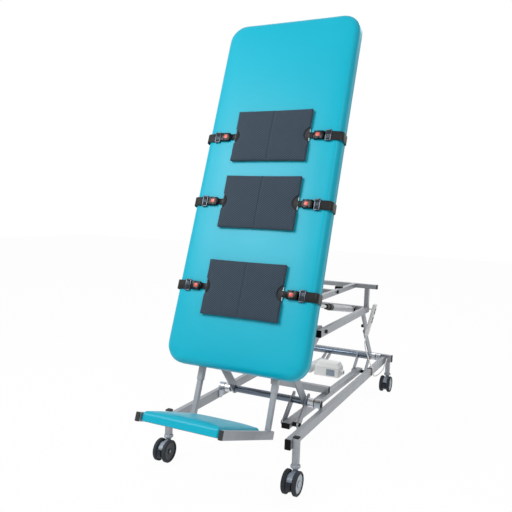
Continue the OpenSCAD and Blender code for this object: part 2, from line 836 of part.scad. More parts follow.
module control_box() {
    x1 = box_x0 + box_w;
    mid = (box_x0 + x1) / 2;
    socket_z = box_z0 + box_h / 2;
    label_z = box_z0 + box_r;
    color("white") in_frame() difference() {
        union() {
            translate([mid, box_y, box_z0]) linear_extrude(box_h) round_rect(box_w, box_d, box_r);
            hull() {
                translate([mid, box_y, box_z0 + box_h - cut]) linear_extrude(cut)
                    round_rect(box_w, box_d, box_r);
                translate([mid, box_y, box_z0 + box_h + box_lid_h - cut]) linear_extrude(cut)
                    round_rect(box_w - 2 * box_lid_in, box_d - 2 * box_lid_in, box_r);
            }
            // Boss that is screwed to the actuator's motor housing
            box([box_x0 - box_gap + gap, box_x0 + cut],
                [box_y - box_boss_w / 2, box_y + box_boss_w / 2], box_boss_z);
            bar_x([box_y, socket_z], socket_r, [x1 - cut, x1 + socket_l]);
            box([mid, mid + label_w], [box_y - box_d / 2 - label_t, box_y], [label_z, label_z + label_h]);
        }
        bar_x([box_y, socket_z], socket_hole_r, [x1 + socket_l / 3, x1 + socket_l + cut]);
    }
}

// Carriage

module carriage_side_bars() {
    color("silver") in_frame() both_sides()
        tube_y([mid_x, mid_z], tube_w, mid_h, [mid_y0, post_y + tube_w / 2]);
}

module carriage_upper_frame() {
    cross_half = upper_x - tube_w / 2;
    bar_face = post_y - tube_w / 2;
    color("silver") in_frame() {
        difference() {
            union() {
                tube_x([post_y, rear_low_z], tube_w, tube_w, [-mid_in_x, mid_in_x]);
                ears(tilt_act_x) {
                    translate(tilt_act_rear) circle(act_ear_r);
                    translate([tilt_act_rear[0], tilt_act_rear[1] - act_ear_r])
                        square([bar_face - tilt_act_rear[0], 2 * act_ear_r]);
                }
            }
            bar_x(tilt_act_rear, pin_r + fit_gap, [tilt_act_x - tube_w, tilt_act_x + tube_w]);
        }
        both_sides() {
            tube_z([mid_x, post_y], tube_w, tube_w, [rear_top_z, upper_z - tube_w / 2]);
            tube_y([upper_x, upper_z], tube_w, tube_w, [upper_y0, bar_face]);
        }
        tube_x([post_y, upper_z], tube_w, tube_w, [-upper_half + cap_t, upper_half - cap_t]);
        tube_x([upper_y0 + tube_w / 2, upper_z], tube_w, tube_w, [-cross_half, cross_half]);
        tube_x([upper_mid_y, upper_z], tube_w, tube_w, [-cross_half, cross_half]);
    }
}

module hanger_plates() {
    ends = [hanger_x - hanger_t, hanger_x + hanger_t];
    color("silver") in_frame() both_sides() {
        difference() {
            side_plate(hanger_x, hanger_t) {
                link(tilt_pivot, hanger_bolt, hanger_w);
                link(front_pivot, hanger_bolt, hanger_w);
                link(tilt_pivot, front_pivot, hanger_w);
            }
            bar_x(tilt_pivot, tilt_pin_r + fit_gap, ends);
            bar_x(front_pivot, pin_r + fit_gap, ends);
            bar_x(hanger_bolt, pin_r + fit_gap, ends);
        }
        difference() {
            side_plate(hanger_x, hanger_t) difference() {
                link(rear_pivot, hanger_rear_bolt, hanger_w);
                // Notch for the lower rear crossbar
                translate([post_y - tube_w / 2 - gap, rear_low_z - tube_w / 2 - gap]) square(2 * tube_w);
            }
            bar_x(rear_pivot, pin_r + fit_gap, ends);
        }
    }
}

module carriage_caps_and_bolts() {
    hang_out = hanger_x + hanger_t / 2;
    hang_in = hanger_x - hanger_t / 2;
    ear_out = act_ear_x + act_ear_t / 2;
    bumper_top = tilt_z + pivot_o - sub_back - gap;
    bumper_ends = [bumper_y - bumper_w / 2, bumper_y + bumper_w / 2];
    color("#202224") in_frame() {
        both_sides() {
            translate([mid_x, mid_y0, mid_z]) rotate([90, 0, 0]) cap(tube_w, mid_h);
            translate([mid_x, post_y + tube_w / 2, mid_z]) rotate([-90, 0, 0]) cap(tube_w, mid_h);
            translate([upper_half - cap_t, post_y, upper_z]) rotate([90, 0, 90]) cap(tube_w, tube_w);
            translate([upper_x, upper_y0, upper_z]) rotate([90, 0, 0]) cap(tube_w, tube_w);
            // Bolt of the front hanger plate
            bar_x(hanger_bolt, pin_r, [hang_in, hang_out - gap / 2]);
            bolt_head(hanger_bolt, hang_in, -1);
            bolt_head(hanger_bolt, mid_x + tube_w / 2, 1);
            // Tilt pivot pin between the hanger plate and the board's bracket
            bar_x(tilt_pivot, tilt_pin_r, [tilt_bracket_x - plate_t / 2, hang_out]);
            bolt_head(tilt_pivot, tilt_bracket_x - plate_t / 2, -1);
            bolt_head(tilt_pivot, hang_out, 1);
            // Pins of the front and rear lift arms
            for (q = [[front_pivot, front_arm_x], [rear_pivot, rear_arm_x]]) {
                bar_x(q[0], pin_r, [q[1] - plate_t / 2, hang_out]);
                bar_x(q[0], spacer_r, [q[1] + plate_t / 2 + gap, hang_in]);
                bolt_head(q[0], q[1] - plate_t / 2, -1);
                bolt_head(q[0], hang_out, 1);
            }
            bolt_head(knob_at, hang_in, -1, 2 * bolt_head_t);
            bolt_head([upper_mid_y, upper_z + tube_r], upper_x + tube_w / 2, 1);
            // Rubber rest for the board's frame, saddled on the upper side bar
            difference() {
                box([upper_x - bumper_w, upper_x + tube_w / 2 - tube_r], bumper_ends,
                    [upper_z + tube_w / 2 - bumper_drop, bumper_top]);
                box([upper_x - tube_w / 2, upper_x + tube_w], [bumper_y - bumper_w, bumper_y + bumper_w],
                    [0, upper_z + tube_w / 2]);
            }
        }
        bar_x(tilt_act_rear, pin_r, [tilt_act_x - ear_out, tilt_act_x + ear_out]);
        bolt_head(tilt_act_rear, tilt_act_x + ear_out, 1);
        bolt_head(tilt_act_rear, tilt_act_x - ear_out, -1);
    }
}

// Handset: drawn with its top middle at the origin, hanging down, with the keys towards +X

module on_handset() {
    in_frame() translate([hand_x, hand_y, hand_top]) rotate([0, hand_lean, 0]) children();
}

module handset() {
    color("whitesmoke") {
        on_handset() difference() {
            translate([0, 0, -hand_l]) linear_extrude(hand_l) round_rect(hand_t, hand_w, hand_r);
            for (d = key_down)
                box([hand_t / 2 - key_sink - key_clear, hand_t / 2 + cut],
                    [-key_w / 2 - gap, key_w / 2 + gap], [-d - key_l / 2 - gap, -d + key_l / 2 + gap]);
        }
        in_frame() box([mid_x, hand_x - hand_t / 2], [post_y + tube_w / 2 + cap_t, hand_y],
            [mid_z - hook_h / 2, mid_z + hook_h / 2]);
    }
}

module handset_key(down) {
    color("slategray") on_handset() difference() {
        translate([hand_t / 2 - key_sink, 0, -down]) rotate([0, 90, 0])
            linear_extrude(key_sink + key_proud) round_rect(key_l, key_w, tube_r);
        translate([hand_t / 2 + key_scoop_r, 0, -down]) rotate([90, 0, 0])
            cylinder(h = key_w + cut, r = key_scoop_r, center = true, $fn = 64);
    }
}

// Cords: a tube of rings swept along the route

function route_dir(path, i) =
    let (d = path[min(i + 1, len(path) - 1)] - path[max(i - 1, 0)]) d / norm(d);

module cord(path, r) {
    skin([for (i = [0 : len(path) - 1])
        let (t = route_dir(path, i), s0 = cross(t, [1, 0, 0]), s = s0 / norm(s0), q = cross(t, s))
        [for (k = [0 : cord_sides - 1]) let (a = 360 * k / cord_sides)
            path[i] + r * (cos(a) * s + sin(a) * q)]]);
}

module handset_cord_upper() {
    color("white") in_frame() cord(cord_upper_route, cord_r);
}

module handset_cord_loop() {
    color("white") in_frame() cord(cord_loop_route, cord_r);
}

// Board

module board_panel() {
    color("burlywood") on_board() translate([0, panel_back, board_l / 2]) rotate([90, 0, 0])
        linear_extrude(panel_t)
            round_rect(board_w - 2 * panel_in, board_l - 2 * panel_in, board_corner_r - panel_in);
}

module board_upholstery() {
    outline = round_outline(board_w, board_l, board_corner_r, 5, 9, 5);
    edge = [for (i = [0 : 4]) let (a = 90 * i / 4) [board_edge_r * (1 - cos(a)), board_edge_r * (1 - sin(a))]];
    color("darkturquoise") on_board() translate([0, 0, board_l / 2]) skin(concat(
        [ring_at(outline, panel_in, 0, 1, foam_t), ring_at(outline, 0, 0, 1, foam_t - panel_in),
            ring_at(outline, 0, foam_side_in, 1, (foam_t + board_edge_r) / 2)],
        [for (e = edge) ring_at(outline, e[0], foam_side_in / 2, 1, e[1])],
        [for (s = board_crown_shares) ring_at(outline, board_edge_r, 0, s, -board_crown * (1 - pow(s, 4)))]));
}

module board_subframe() {
    mid_o = (panel_back + sub_back) / 2;
    color("silver") on_board() {
        both_sides() {
            tube_z([upper_x, mid_o], tube_w, tube_w, [sub_from, sub_to]);
            // Sleeve that the footrest post slides in
            translate([foot_x, sleeve_o, sleeve_low]) linear_extrude(sleeve_high - sleeve_low) difference() {
                round_rect(sleeve_w, sleeve_w, tube_r);
                round_rect(foot_post_w + 2 * sleeve_gap, foot_post_w + 2 * sleeve_gap, tube_r - tube_wall / 2);
            }
            // Tilt bracket, from two cross tubes back to the pivot
            difference() {
                side_plate(tilt_bracket_x, plate_t) {
                    translate([pivot_o, pivot_u]) circle(pivot_plate_r);
                    polygon([
                        [sub_back, sub_cross[0] - tube_w / 2], [sub_back, sub_cross[1] + tube_w / 2],
                        [pivot_o, pivot_u + pivot_plate_r - gap], [pivot_o, pivot_u - pivot_plate_r + gap]]);
                }
                bar_x([pivot_o, pivot_u], tilt_pin_r + fit_gap,
                    [tilt_bracket_x - plate_t, tilt_bracket_x + plate_t]);
            }
        }
        for (u = sub_cross) difference() {
            tube_x([mid_o, u], tube_w, tube_w, [-sub_cross_half, sub_cross_half]);
            both_sides() box([upper_x - tube_w / 2, upper_x + tube_w / 2], [panel_back - cut, sub_back + cut],
                [u - tube_w, u + tube_w]);
        }
        difference() {
            ears(tilt_act_x) {
                translate([act_pin_o, act_pin_u]) circle(act_ear_r);
                translate([sub_back, act_pin_u - act_ear_r]) square([act_pin_o - sub_back, 2 * act_ear_r]);
            }
            bar_x([act_pin_o, act_pin_u], pin_r + fit_gap, [tilt_act_x - tube_w, tilt_act_x + tube_w]);
        }
    }
}

// Straps: each half is drawn on the +X side and mirrored to the other

module strap_half(u, side) {
    on_board() translate([0, 0, u]) mirror([side < 0 ? 1 : 0, 0, 0]) children();
}

module buckle_button(u, side) {
    color("tomato") strap_half(u, side)
        box([button_x - button_l / 2, button_x + button_l / 2],
            [face_o - buckle_t - button_rise, face_o - buckle_t + button_deep - gap],
            [-button_w / 2, button_w / 2]);
}

module strap_buckles() {
    pocket_half = button_l / 2 + gap;
    color("#26292d") for (u = strap_u, side = [-1, 1]) strap_half(u, side) {
        difference() {
            translate([buckle_x0 + buckle_l / 2, face_o - buckle_t, 0]) rotate([-90, 0, 0])
                linear_extrude(buckle_t) round_rect(buckle_l, buckle_w, buckle_r);
            box([button_x - pocket_half, button_x + pocket_half],
                [face_o - buckle_t - cut, face_o - buckle_t + button_deep + button_travel],
                [-button_w / 2 - gap, button_w / 2 + gap]);
            // Mouth that the tongue goes into
            box([buckle_x0 - cut, buckle_x0 + tongue_hook],
                [strap_o - tongue_t / 2 - gap, strap_o + tongue_t / 2 + gap],
                [-tongue_w / 2 - gap, tongue_w / 2 + gap]);
        }
        difference() {
            translate([slider_x0 + slider_l / 2, face_o - slider_t, 0]) rotate([-90, 0, 0])
                linear_extrude(slider_t) round_rect(slider_l, slider_w, buckle_r);
            for (k = [-1, 1])
                translate([slider_x0 + slider_l / 2 + k * slider_slot, 0, 0])
                    box([-slider_slot / 3, slider_slot / 3], [face_o - slider_t - cut, face_o - slider_t / 2],
                        [-web_w / 2, web_w / 2]);
        }
        // Webbing between the buckle and the slider
        box([buckle_x0 + buckle_l, slider_x0], [face_o - slider_t / 2, face_o - slider_t / 2 + web_t],
            [-buckle_w / 2 + buckle_r, buckle_w / 2 - buckle_r]);
    }
}

module strap_rings() {
    bar = notch_r * sin(acos((notch_r - notch_deep + ring_in + ring_r) / notch_r)) - ring_clear;
    color("gainsboro") for (u = strap_u, side = [-1, 1]) strap_half(u, side) {
        x_ring = pad_w / 2 + side * pad_shift - ring_in;
        translate([x_ring, strap_o, -bar]) cylinder(h = 2 * bar, r = ring_r);
        // Tongue plate, hooked on the ring and pushed into the buckle
        box([x_ring - tongue_hook, buckle_x0 + tongue_hook - gap],
            [strap_o - tongue_t / 2, strap_o + tongue_t / 2], [-tongue_w / 2, tongue_w / 2]);
    }
}

module strap_webbing() {
    side_o = web_clear + web_t / 2;
    x_edge = board_w / 2 + side_o;
    face_x = x_edge - board_edge_r;
    fold_x = x_edge - web_fold_r;
    fold_o = panel_back + side_o - web_fold_r;
    // Path of the webbing's middle as [x, depth], over the front edge and round to the back
    path = concat(
        [[slider_x0 + slider_l + web_t / 2, face_o - web_dip], [face_x - web_dip, -side_o - web_t]],
        [for (i = [1 : 5]) let (a = 90 * i / 5)
            [face_x + board_edge_r * sin(a), board_edge_r - side_o - board_edge_r * cos(a)]],
        [for (i = [0 : 3]) let (a = 90 * i / 3)
            [fold_x + web_fold_r * cos(a), fold_o + web_fold_r * sin(a)]],
        [[web_anchor_x, panel_back + gap + web_t / 2]]);
    color("#1f2225") for (u = strap_u, side = [-1, 1]) strap_half(u, side)
        translate([0, 0, -web_w / 2]) linear_extrude(web_w) for (i = [0 : len(path) - 2])
            link(path[i], path[i + 1], web_t, $fn = 16);
}

// Strap pad: a crowned cushion with a round notch in each side and a seam down its middle
module strap_pads() {
    w = pad_w / 2;
    h = pad_h / 2;
    sides = 5;
    steps = 8;
    arc = acos(1 - notch_deep / notch_r);
    notch_h = notch_r * sin(arc);
    n = len(pad_top_shares);
    top = concat(pad_top_shares, [0], [for (i = [n - 1 : -1 : 0]) -pad_top_shares[i]]);
    half = concat(
        [for (i = [0 : sides]) [w, -h + (h - notch_h) * i / sides, 1, 0, 0]],
        [for (i = [1 : steps - 1]) let (a = -arc + 2 * arc * i / steps)
            [w + notch_r - notch_deep - notch_r * cos(a), notch_r * sin(a), cos(a), -sin(a), 0]],
        [for (i = [0 : sides]) [w, notch_h + (h - notch_h) * i / sides, 1, 0, 0]],
        [for (s = top) [w * s, h, 0, 1, cos(90 * s)]]);
    outline = concat(half, [for (q = half) [-q[0], -q[1], -q[2], -q[3], q[4]]]);
    lip = pad_t * pad_lip_share;
    rings = concat(
        [ring_at(outline, lip, 0, 1, 0), ring_at(outline, 0, 0, 1, -lip),
            ring_at(outline, 0, lip, 1, lip / 2 - pad_t / 2), ring_at(outline, lip / 2, lip, 1, lip - pad_t)],
        [for (s = pad_crown_shares) [for (q = ring_at(outline, lip, lip, s, 0))
            [q[0], -pad_t - (pad_crown * (1 - s * s) - (s < 1 ? 0 : lip / 2)) * (abs(q[0]) < cut ? seam_share : 1),
                q[2]]]]);
    color("darkslategray") for (u = strap_u)
        on_board() translate([pad_shift, face_o - pad_stand, u]) skin(rings);
}

// Footrest

module footrest_frame() {
    strip_x = foot_x - foot_rail_t / 2;
    run = foot_back + foot_reach;
    color("silver") on_board() {
        both_sides() {
            tube_y([foot_x, -foot_drop], foot_rail_t, foot_rail_h, [-foot_reach, foot_back]);
            tube_z([foot_x, sleeve_o], foot_post_w, foot_post_w, [-foot_drop + foot_rail_h / 2, post_high]);
        }
        for (k = foot_strip_shares) translate([0, -foot_reach + run * k, foot_low])
            box([-strip_x, strip_x], [-foot_strip_w / 2, foot_strip_w / 2], [0, foot_strip_t]);
    }
    color("#202224") on_board() both_sides() {
        translate([foot_x, -foot_reach, -foot_drop]) rotate([90, 0, 0]) cap(foot_rail_t, foot_rail_h);
        translate([foot_x, foot_back, -foot_drop]) rotate([-90, 0, 0]) cap(foot_rail_t, foot_rail_h);
    }
}

module footrest_pad() {
    w = foot_gauge - foot_rail_t - 2 * foot_pad_gap;
    back = sleeve_o - foot_post_w / 2 - foot_pad_back;
    d = foot_reach + back - foot_pad_gap;
    top = foot_pad_t * foot_roll_shares[len(foot_roll_shares) - 1][1];
    outline = round_outline(w, d, foot_pad_r, 5, 6, 4);
    color("darkturquoise") on_board() translate([0, back - d / 2, foot_low + foot_strip_t + gap])
        rotate([-90, 0, 0]) skin(concat(
            [ring_at(outline, foot_pad_lip, 0, 1, 0), ring_at(outline, 0, 0, 1, -foot_pad_lip)],
            [for (r = foot_roll_shares)
                ring_at(outline, foot_pad_roll * r[0], foot_pad_draw, 1, -foot_pad_t * r[1])],
            [for (s = board_crown_shares)
                ring_at(outline, foot_pad_roll, foot_pad_draw, s, -top - foot_pad_crown * (1 - pow(s, 3)))]));
}

base_rail(-1);  // base_rail_left
base_rail(1);  // base_rail_right
base_rear_crossbar();
caster_posts();
base_caps_and_bolts();
shaft_bearings();
caster_stems();
caster_hood(true, -1);  // caster_hood_fl
caster_hood(true, 1);  // caster_hood_fr
caster_hood(false, -1);  // caster_hood_rl
caster_hood(false, 1);  // caster_hood_rr
caster_pedal(true, -1);  // caster_pedal_fl
caster_pedal(true, 1);  // caster_pedal_fr
caster_pedal(false, -1);  // caster_pedal_rl
caster_pedal(false, 1);  // caster_pedal_rr
caster_wheel(true, -1, true);  // caster_wheel_fl_outer
caster_wheel(true, -1, false);  // caster_wheel_fl_inner
caster_wheel(true, 1, true);  // caster_wheel_fr_outer
caster_wheel(true, 1, false);  // caster_wheel_fr_inner
caster_wheel(false, -1, true);  // caster_wheel_rl_outer
caster_wheel(false, -1, false);  // caster_wheel_rl_inner
caster_wheel(false, 1, true);  // caster_wheel_rr_outer
caster_wheel(false, 1, false);  // caster_wheel_rr_inner
lift_shaft(front_shaft);  // front_lift_shaft
lift_arms(front_shaft, front_pivot, front_arm_x, front_arm_tail);  // front_lift_arms
lift_cranks(front_shaft, front_pin, front_crank_tail);  // front_cranks
lift_shaft(rear_shaft);  // rear_lift_shaft
lift_arms(rear_shaft, rear_pivot, rear_arm_x, 0);  // rear_lift_arms
lift_cranks(rear_shaft, rear_pin, 0);  // rear_cranks
tie_rod();
tie_rod_caps_and_bolts();
lift_actuator();
lift_actuator_rod();
control_box();
carriage_side_bars();
carriage_upper_frame();
hanger_plates();
carriage_caps_and_bolts();
tilt_actuator();
tilt_actuator_rod();
handset();
handset_key(key_down[0]);  // handset_key_lift
handset_key(key_down[1]);  // handset_key_tilt
handset_cord_upper();
handset_cord_loop();
board_panel();
board_upholstery();
board_subframe();
strap_webbing();
strap_buckles();
strap_rings();
strap_pads();
buckle_button(strap_u[0], -1);  // buckle_button_chest_left
buckle_button(strap_u[0], 1);  // buckle_button_chest_right
buckle_button(strap_u[1], -1);  // buckle_button_hip_left
buckle_button(strap_u[1], 1);  // buckle_button_hip_right
buckle_button(strap_u[2], -1);  // buckle_button_knee_left
buckle_button(strap_u[2], 1);  // buckle_button_knee_right
footrest_frame();
footrest_pad();
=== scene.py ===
# %% [markdown]
# # A rehabilitation standing frame
#
# A tilt table stands a patient up slowly. A padded board carries the body, straps hold it, and a
# steel base on braked casters lifts and tilts the board with two telescopic actuators.
#
# The steel parts come ready from the CAD frame and get finishes here. Everything soft, such as the
# vinyl cushions, the strap pads, the webbing and the cord, is modelled in this file.

# %% Load the fixed frame
import json
import math

import bpy
import bmesh
from mathutils import Matrix, Vector


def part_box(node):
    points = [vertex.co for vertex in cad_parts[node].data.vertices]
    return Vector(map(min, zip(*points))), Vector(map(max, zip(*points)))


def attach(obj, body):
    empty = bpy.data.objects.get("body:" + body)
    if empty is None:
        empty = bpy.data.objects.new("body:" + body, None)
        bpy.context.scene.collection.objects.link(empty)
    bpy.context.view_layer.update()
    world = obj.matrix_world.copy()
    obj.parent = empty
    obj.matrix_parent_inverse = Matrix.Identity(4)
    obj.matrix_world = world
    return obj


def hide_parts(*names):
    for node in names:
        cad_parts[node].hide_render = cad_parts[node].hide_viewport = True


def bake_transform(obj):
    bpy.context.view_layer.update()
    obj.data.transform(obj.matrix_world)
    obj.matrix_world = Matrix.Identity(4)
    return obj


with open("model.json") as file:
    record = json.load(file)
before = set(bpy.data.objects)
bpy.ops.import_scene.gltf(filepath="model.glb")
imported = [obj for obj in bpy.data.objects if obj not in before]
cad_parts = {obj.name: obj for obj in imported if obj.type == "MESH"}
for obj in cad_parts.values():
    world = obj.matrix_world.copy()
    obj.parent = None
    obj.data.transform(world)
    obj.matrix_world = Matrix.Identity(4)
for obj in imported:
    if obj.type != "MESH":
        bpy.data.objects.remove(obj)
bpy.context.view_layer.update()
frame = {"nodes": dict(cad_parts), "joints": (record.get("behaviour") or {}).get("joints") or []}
nodes = frame["nodes"]
MM = 0.001
print("nodes in the frame:", len(nodes))

# %% [markdown]
# ## Two rulers
#
# Sizes are easiest to think of in millimetres. Places on the base are measured from the front
# caster posts and the floor, and places on the board from its lower front edge: across, into the
# board, and up the board. The board leans back, so its ruler is a matrix that tilts with it.

# %% Places on the base and on the board
POST_HALF = 15
post_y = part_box("caster_posts")[0].y + POST_HALF * MM
slide_axis = next(j for j in frame["joints"] if j["name"] == "footrest_slide")["axis"]
lean_sin, lean_cos = slide_axis[1], slide_axis[2]
BOARD_FRONT, BOARD_BOTTOM = 27, 523


def on_base(x, y, z):
    return Vector((x * MM, post_y + y * MM, z * MM))


board_ruler = Matrix((
    (1, 0, 0, 0),
    (0, lean_cos, lean_sin, on_base(0, -BOARD_FRONT, 0).y),
    (0, -lean_sin, lean_cos, BOARD_BOTTOM * MM),
    (0, 0, 0, 1),
))
print("board leans back", round(math.degrees(math.atan2(lean_sin, lean_cos)), 2), "degrees")

# %% [markdown]
# ## The camera
#
# The camera was found by matching straight edges of the frame with the photograph. It stands to the
# right of the bed at about chest height and looks slightly down, with a short telephoto lens.

# %% Camera
YAW, PITCH, ROLL = math.radians(25.84), math.radians(4.76), math.radians(2.01)
CAMERA_PLACE = (1315.4, -2484.6, 1320.0)
FOCAL_SHARE = 587.98 / 512
SENSOR = 36


def show(name, data):
    thing = bpy.data.objects.new(name, data)
    bpy.context.scene.collection.objects.link(thing)
    return thing


forward = Vector((-math.sin(YAW) * math.cos(PITCH), math.cos(YAW) * math.cos(PITCH), -math.sin(PITCH)))
level_right = Vector((math.cos(YAW), math.sin(YAW), 0))
level_up = level_right.cross(forward)
right = level_right * math.cos(ROLL) + level_up * math.sin(ROLL)
up = right.cross(forward)
camera_data = bpy.data.cameras.new("camera")
camera_data.sensor_width = SENSOR
camera_data.lens = FOCAL_SHARE * SENSOR
camera = show("camera", camera_data)
turn = Matrix((right, up, -forward)).transposed()
camera.matrix_world = Matrix.Translation(on_base(*CAMERA_PLACE)) @ turn.to_4x4()
bpy.context.scene.camera = camera
print("lens", round(camera_data.lens, 1), "mm")

# %% [markdown]
# ## Colour and node helpers
#
# Colours are written as sRGB hex values, the way a paint chip is measured, and one function turns
# them to the linear values that shaders work in. One more function adds a shader node with its
# settings, values and links, so a material reads as a short list of steps.

# %% Helpers for materials


def paint(hex_code):
    parts = [int(hex_code[i:i + 2], 16) / 255 for i in (1, 3, 5)]
    return tuple(v / 12.92 if v <= 0.04045 else ((v + 0.055) / 1.055) ** 2.4 for v in parts) + (1,)


def shade(hex_code, share):
    return tuple(v * share for v in paint(hex_code)[:3]) + (1,)


def plug(tree, socket, value):
    """Link a socket to another one, or write a value or a hex colour into it."""
    if isinstance(value, bpy.types.NodeSocket):
        tree.links.new(value, socket)
    else:
        socket.default_value = paint(value) if isinstance(value, str) else value


def fill(tree, node, **values):
    for key, value in values.items():
        plug(tree, node.inputs[key.replace("_", " ")], value)


def add(tree, kind, *inputs, out=0, **named):
    """Add a node and give one output. Names in lower case are settings, the others are sockets."""
    node = tree.nodes.new("ShaderNode" + kind)
    for key in [k for k in named if k.islower()]:
        setattr(node, key, named.pop(key))
    for socket, value in zip(node.inputs, inputs):
        plug(tree, socket, value)
    fill(tree, node, **named)
    return node.outputs[out]


def new_finish(name):
    """A node tree, and a function that fills its shader, adds a relief and gives the material."""
    material = bpy.data.materials.new(name)
    material.use_nodes = True
    tree = material.node_tree

    def done(height=None, depth_mm=0, strength=1, **values):
        if height is not None:
            values["Normal"] = add(tree, "Bump", Height=height, Distance=depth_mm * MM,
                                   Strength=strength)
        fill(tree, tree.nodes["Principled BSDF"], **values)
        print("finish", name)
        return material

    return tree, done


def surface_place(tree, per_mm=(1, 1, 1)):
    """Object coordinates in millimetres, stretched per axis."""
    place = add(tree, "TexCoord", out="Object")
    return add(tree, "Mapping", Vector=place, Scale=tuple(v / MM for v in per_mm))


def axis_mm(tree, letter):
    return add(tree, "SeparateXYZ", surface_place(tree), out=letter)


def noise(tree, size_mm, place=None, detail=2, roughness=0.5):
    return add(tree, "TexNoise", Vector=place or surface_place(tree), Scale=1 / size_mm,
               Detail=detail, Roughness=roughness, out="Fac")


def spread(tree, value, low, high):
    """Map a 0..1 pattern to a range."""
    return add(tree, "MapRange", Value=value, To_Min=low, To_Max=high)


def between(tree, share, first, second):
    """Mix two colours by a pattern."""
    mixed = tree.nodes.new("ShaderNodeMix")
    mixed.data_type = "RGBA"
    for index, value in ((0, share), (6, first), (7, second)):
        plug(tree, mixed.inputs[index], value)
    return mixed.outputs[2]


def reckon(tree, operation, *values):
    return add(tree, "Math", *values, operation=operation)


def arm_from(tree, origin):
    """The way from an origin to the surface, in metres."""
    place = add(tree, "TexCoord", out="Object")
    return add(tree, "VectorMath", place, tuple(origin), operation="SUBTRACT")


def beyond(tree, origin, direction, limit_mm):
    """1 where the surface lies further than a limit from an origin, along a direction."""
    arm = arm_from(tree, origin)
    along = add(tree, "VectorMath", arm, tuple(direction), operation="DOT_PRODUCT", out="Value")
    return reckon(tree, "GREATER_THAN", along, limit_mm * MM)


def radius_mm(tree, centre):
    """Distance in millimetres from an axis that runs across the bed."""
    arm = arm_from(tree, centre)
    flat = add(tree, "VectorMath", arm, (0, 1 / MM, 1 / MM), operation="MULTIPLY")
    return add(tree, "VectorMath", flat, operation="LENGTH", out="Value")


# %% [markdown]
# ## Powder-coated steel
#
# The tubes are welded mild steel with a silver-grey powder coat. The powder melts into a skin with
# a faint orange peel about 2 mm across, half metallic in its gloss. Handling leaves slightly
# duller and darker patches, so colour and roughness both drift a little.

# %% Powder coat
PEEL_MM, PEEL_DEPTH_MM, PATCH_MM = 2.2, 0.05, 70
COAT_LIGHT, COAT_DARK = "#A4A9AF", "#91969C"


def make_powder_coat(name, light, dark):
    tree, done = new_finish(name)
    patch = noise(tree, PATCH_MM, detail=3)
    return done(noise(tree, PEEL_MM), PEEL_DEPTH_MM, 0.6, Base_Color=between(tree, patch, light, dark),
                Roughness=spread(tree, patch, 0.26, 0.4), Metallic=0.42)


powder_coat = make_powder_coat("powder_coated_steel", COAT_LIGHT, COAT_DARK)
plate_coat = make_powder_coat("powder_coated_plate", "#9DA4AC", "#888F98")

# %% [markdown]
# ## Ground and polished steel
#
# Shafts are turned, ground and plated. Grinding leaves fine rings round the bar, which stretch the
# reflections. The plating is bright and slightly bluish, so its colour is a cool grey.

# %% Plated steel
RING_MM, RING_DEPTH_MM = 1.5, 0.01
ALONG_RING = 0.02  # The rings hardly change along themselves


def ground_rings(tree):
    """Fine rings round a bar that lies across the bed."""
    return noise(tree, 1, surface_place(tree, (1 / RING_MM, ALONG_RING, ALONG_RING)))


def make_plated_steel(name, colour, roughness):
    tree, done = new_finish(name)
    marks = ground_rings(tree)
    return done(marks, RING_DEPTH_MM, 0.5, Base_Color=colour, Metallic=1.0,
                Roughness=spread(tree, marks, roughness - 0.05, roughness + 0.07))


bright_steel = make_plated_steel("bright_steel", "#D5D8DC", 0.16)
ring_steel = make_plated_steel("ring_steel", "#A9B0B8", 0.28)
dull_steel = make_plated_steel("slider_steel", "#4C535B", 0.2)

# %% [markdown]
# ## Moulded plastics
#
# Caps and bolt heads are black polyethylene, caster bodies grey polyamide, and the actuator and
# handset housings white ABS. Each mould was spark-eroded, which gives a fine even grain. It is too
# fine to show from here, so it is drawn a little coarser than the real one.

# %% Moulded plastic
GRAIN_MM, TONE_MM, DULLER = 0.9, 30, 0.88


def make_moulded(name, colour, roughness, grain_depth=0.04, gloss=0.5):
    tree, done = new_finish(name)
    tone = noise(tree, TONE_MM)
    return done(noise(tree, GRAIN_MM), grain_depth, 0.5, IOR=1.5, Specular_IOR_Level=gloss,
                Base_Color=between(tree, tone, colour, shade(colour, DULLER)),
                Roughness=spread(tree, tone, roughness - 0.05, roughness + 0.06))


black_cap = make_moulded("black_polyethylene", "#060708", 0.4, gloss=0.12)
buckle_black = make_moulded("black_nylon", "#050608", 0.26, 0.02, 0.16)
collar_grey = make_moulded("grey_polyamide", "#AEB6BF", 0.36)
hood_grey = make_moulded("blue_grey_polyamide", "#9FABBA", 0.28, 0.02)
pedal_navy = make_moulded("navy_polyamide", "#0C1524", 0.2, 0.01, 0.35)
white_abs = make_moulded("white_abs", "#F3F5F5", 0.34)
key_grey = make_moulded("slate_rubber_key", "#4A525C", 0.5)
cord_white = make_moulded("white_pvc_jacket", "#F7F8F6", 0.4, 0.02)
button_red = make_moulded("red_abs", "#E8503C", 0.3, 0.01)
button_frame = make_moulded("grey_abs_frame", "#5A5E64", 0.35, 0.02, 0.35)

# %% [markdown]
# ## Vinyl upholstery
#
# The cushions are foam under a stretched turquoise vinyl. It is smooth and slightly glossy, with a
# leather-like emboss under 2 mm across. Stretch makes wide, very soft changes of tone.

# %% Vinyl
EMBOSS_MM, STRETCH_MM = 1.6, 260


def make_vinyl():
    tree, done = new_finish("turquoise_vinyl")
    cells = add(tree, "TexVoronoi", feature="DISTANCE_TO_EDGE", Vector=surface_place(tree),
                Scale=1 / EMBOSS_MM)
    stretch = noise(tree, STRETCH_MM)
    return done(cells, 0.04, 0.35, Base_Color=between(tree, stretch, "#02B3CC", "#00ABC5"),
                Roughness=spread(tree, stretch, 0.33, 0.4), IOR=1.5, Specular_IOR_Level=0.25)


vinyl = make_vinyl()

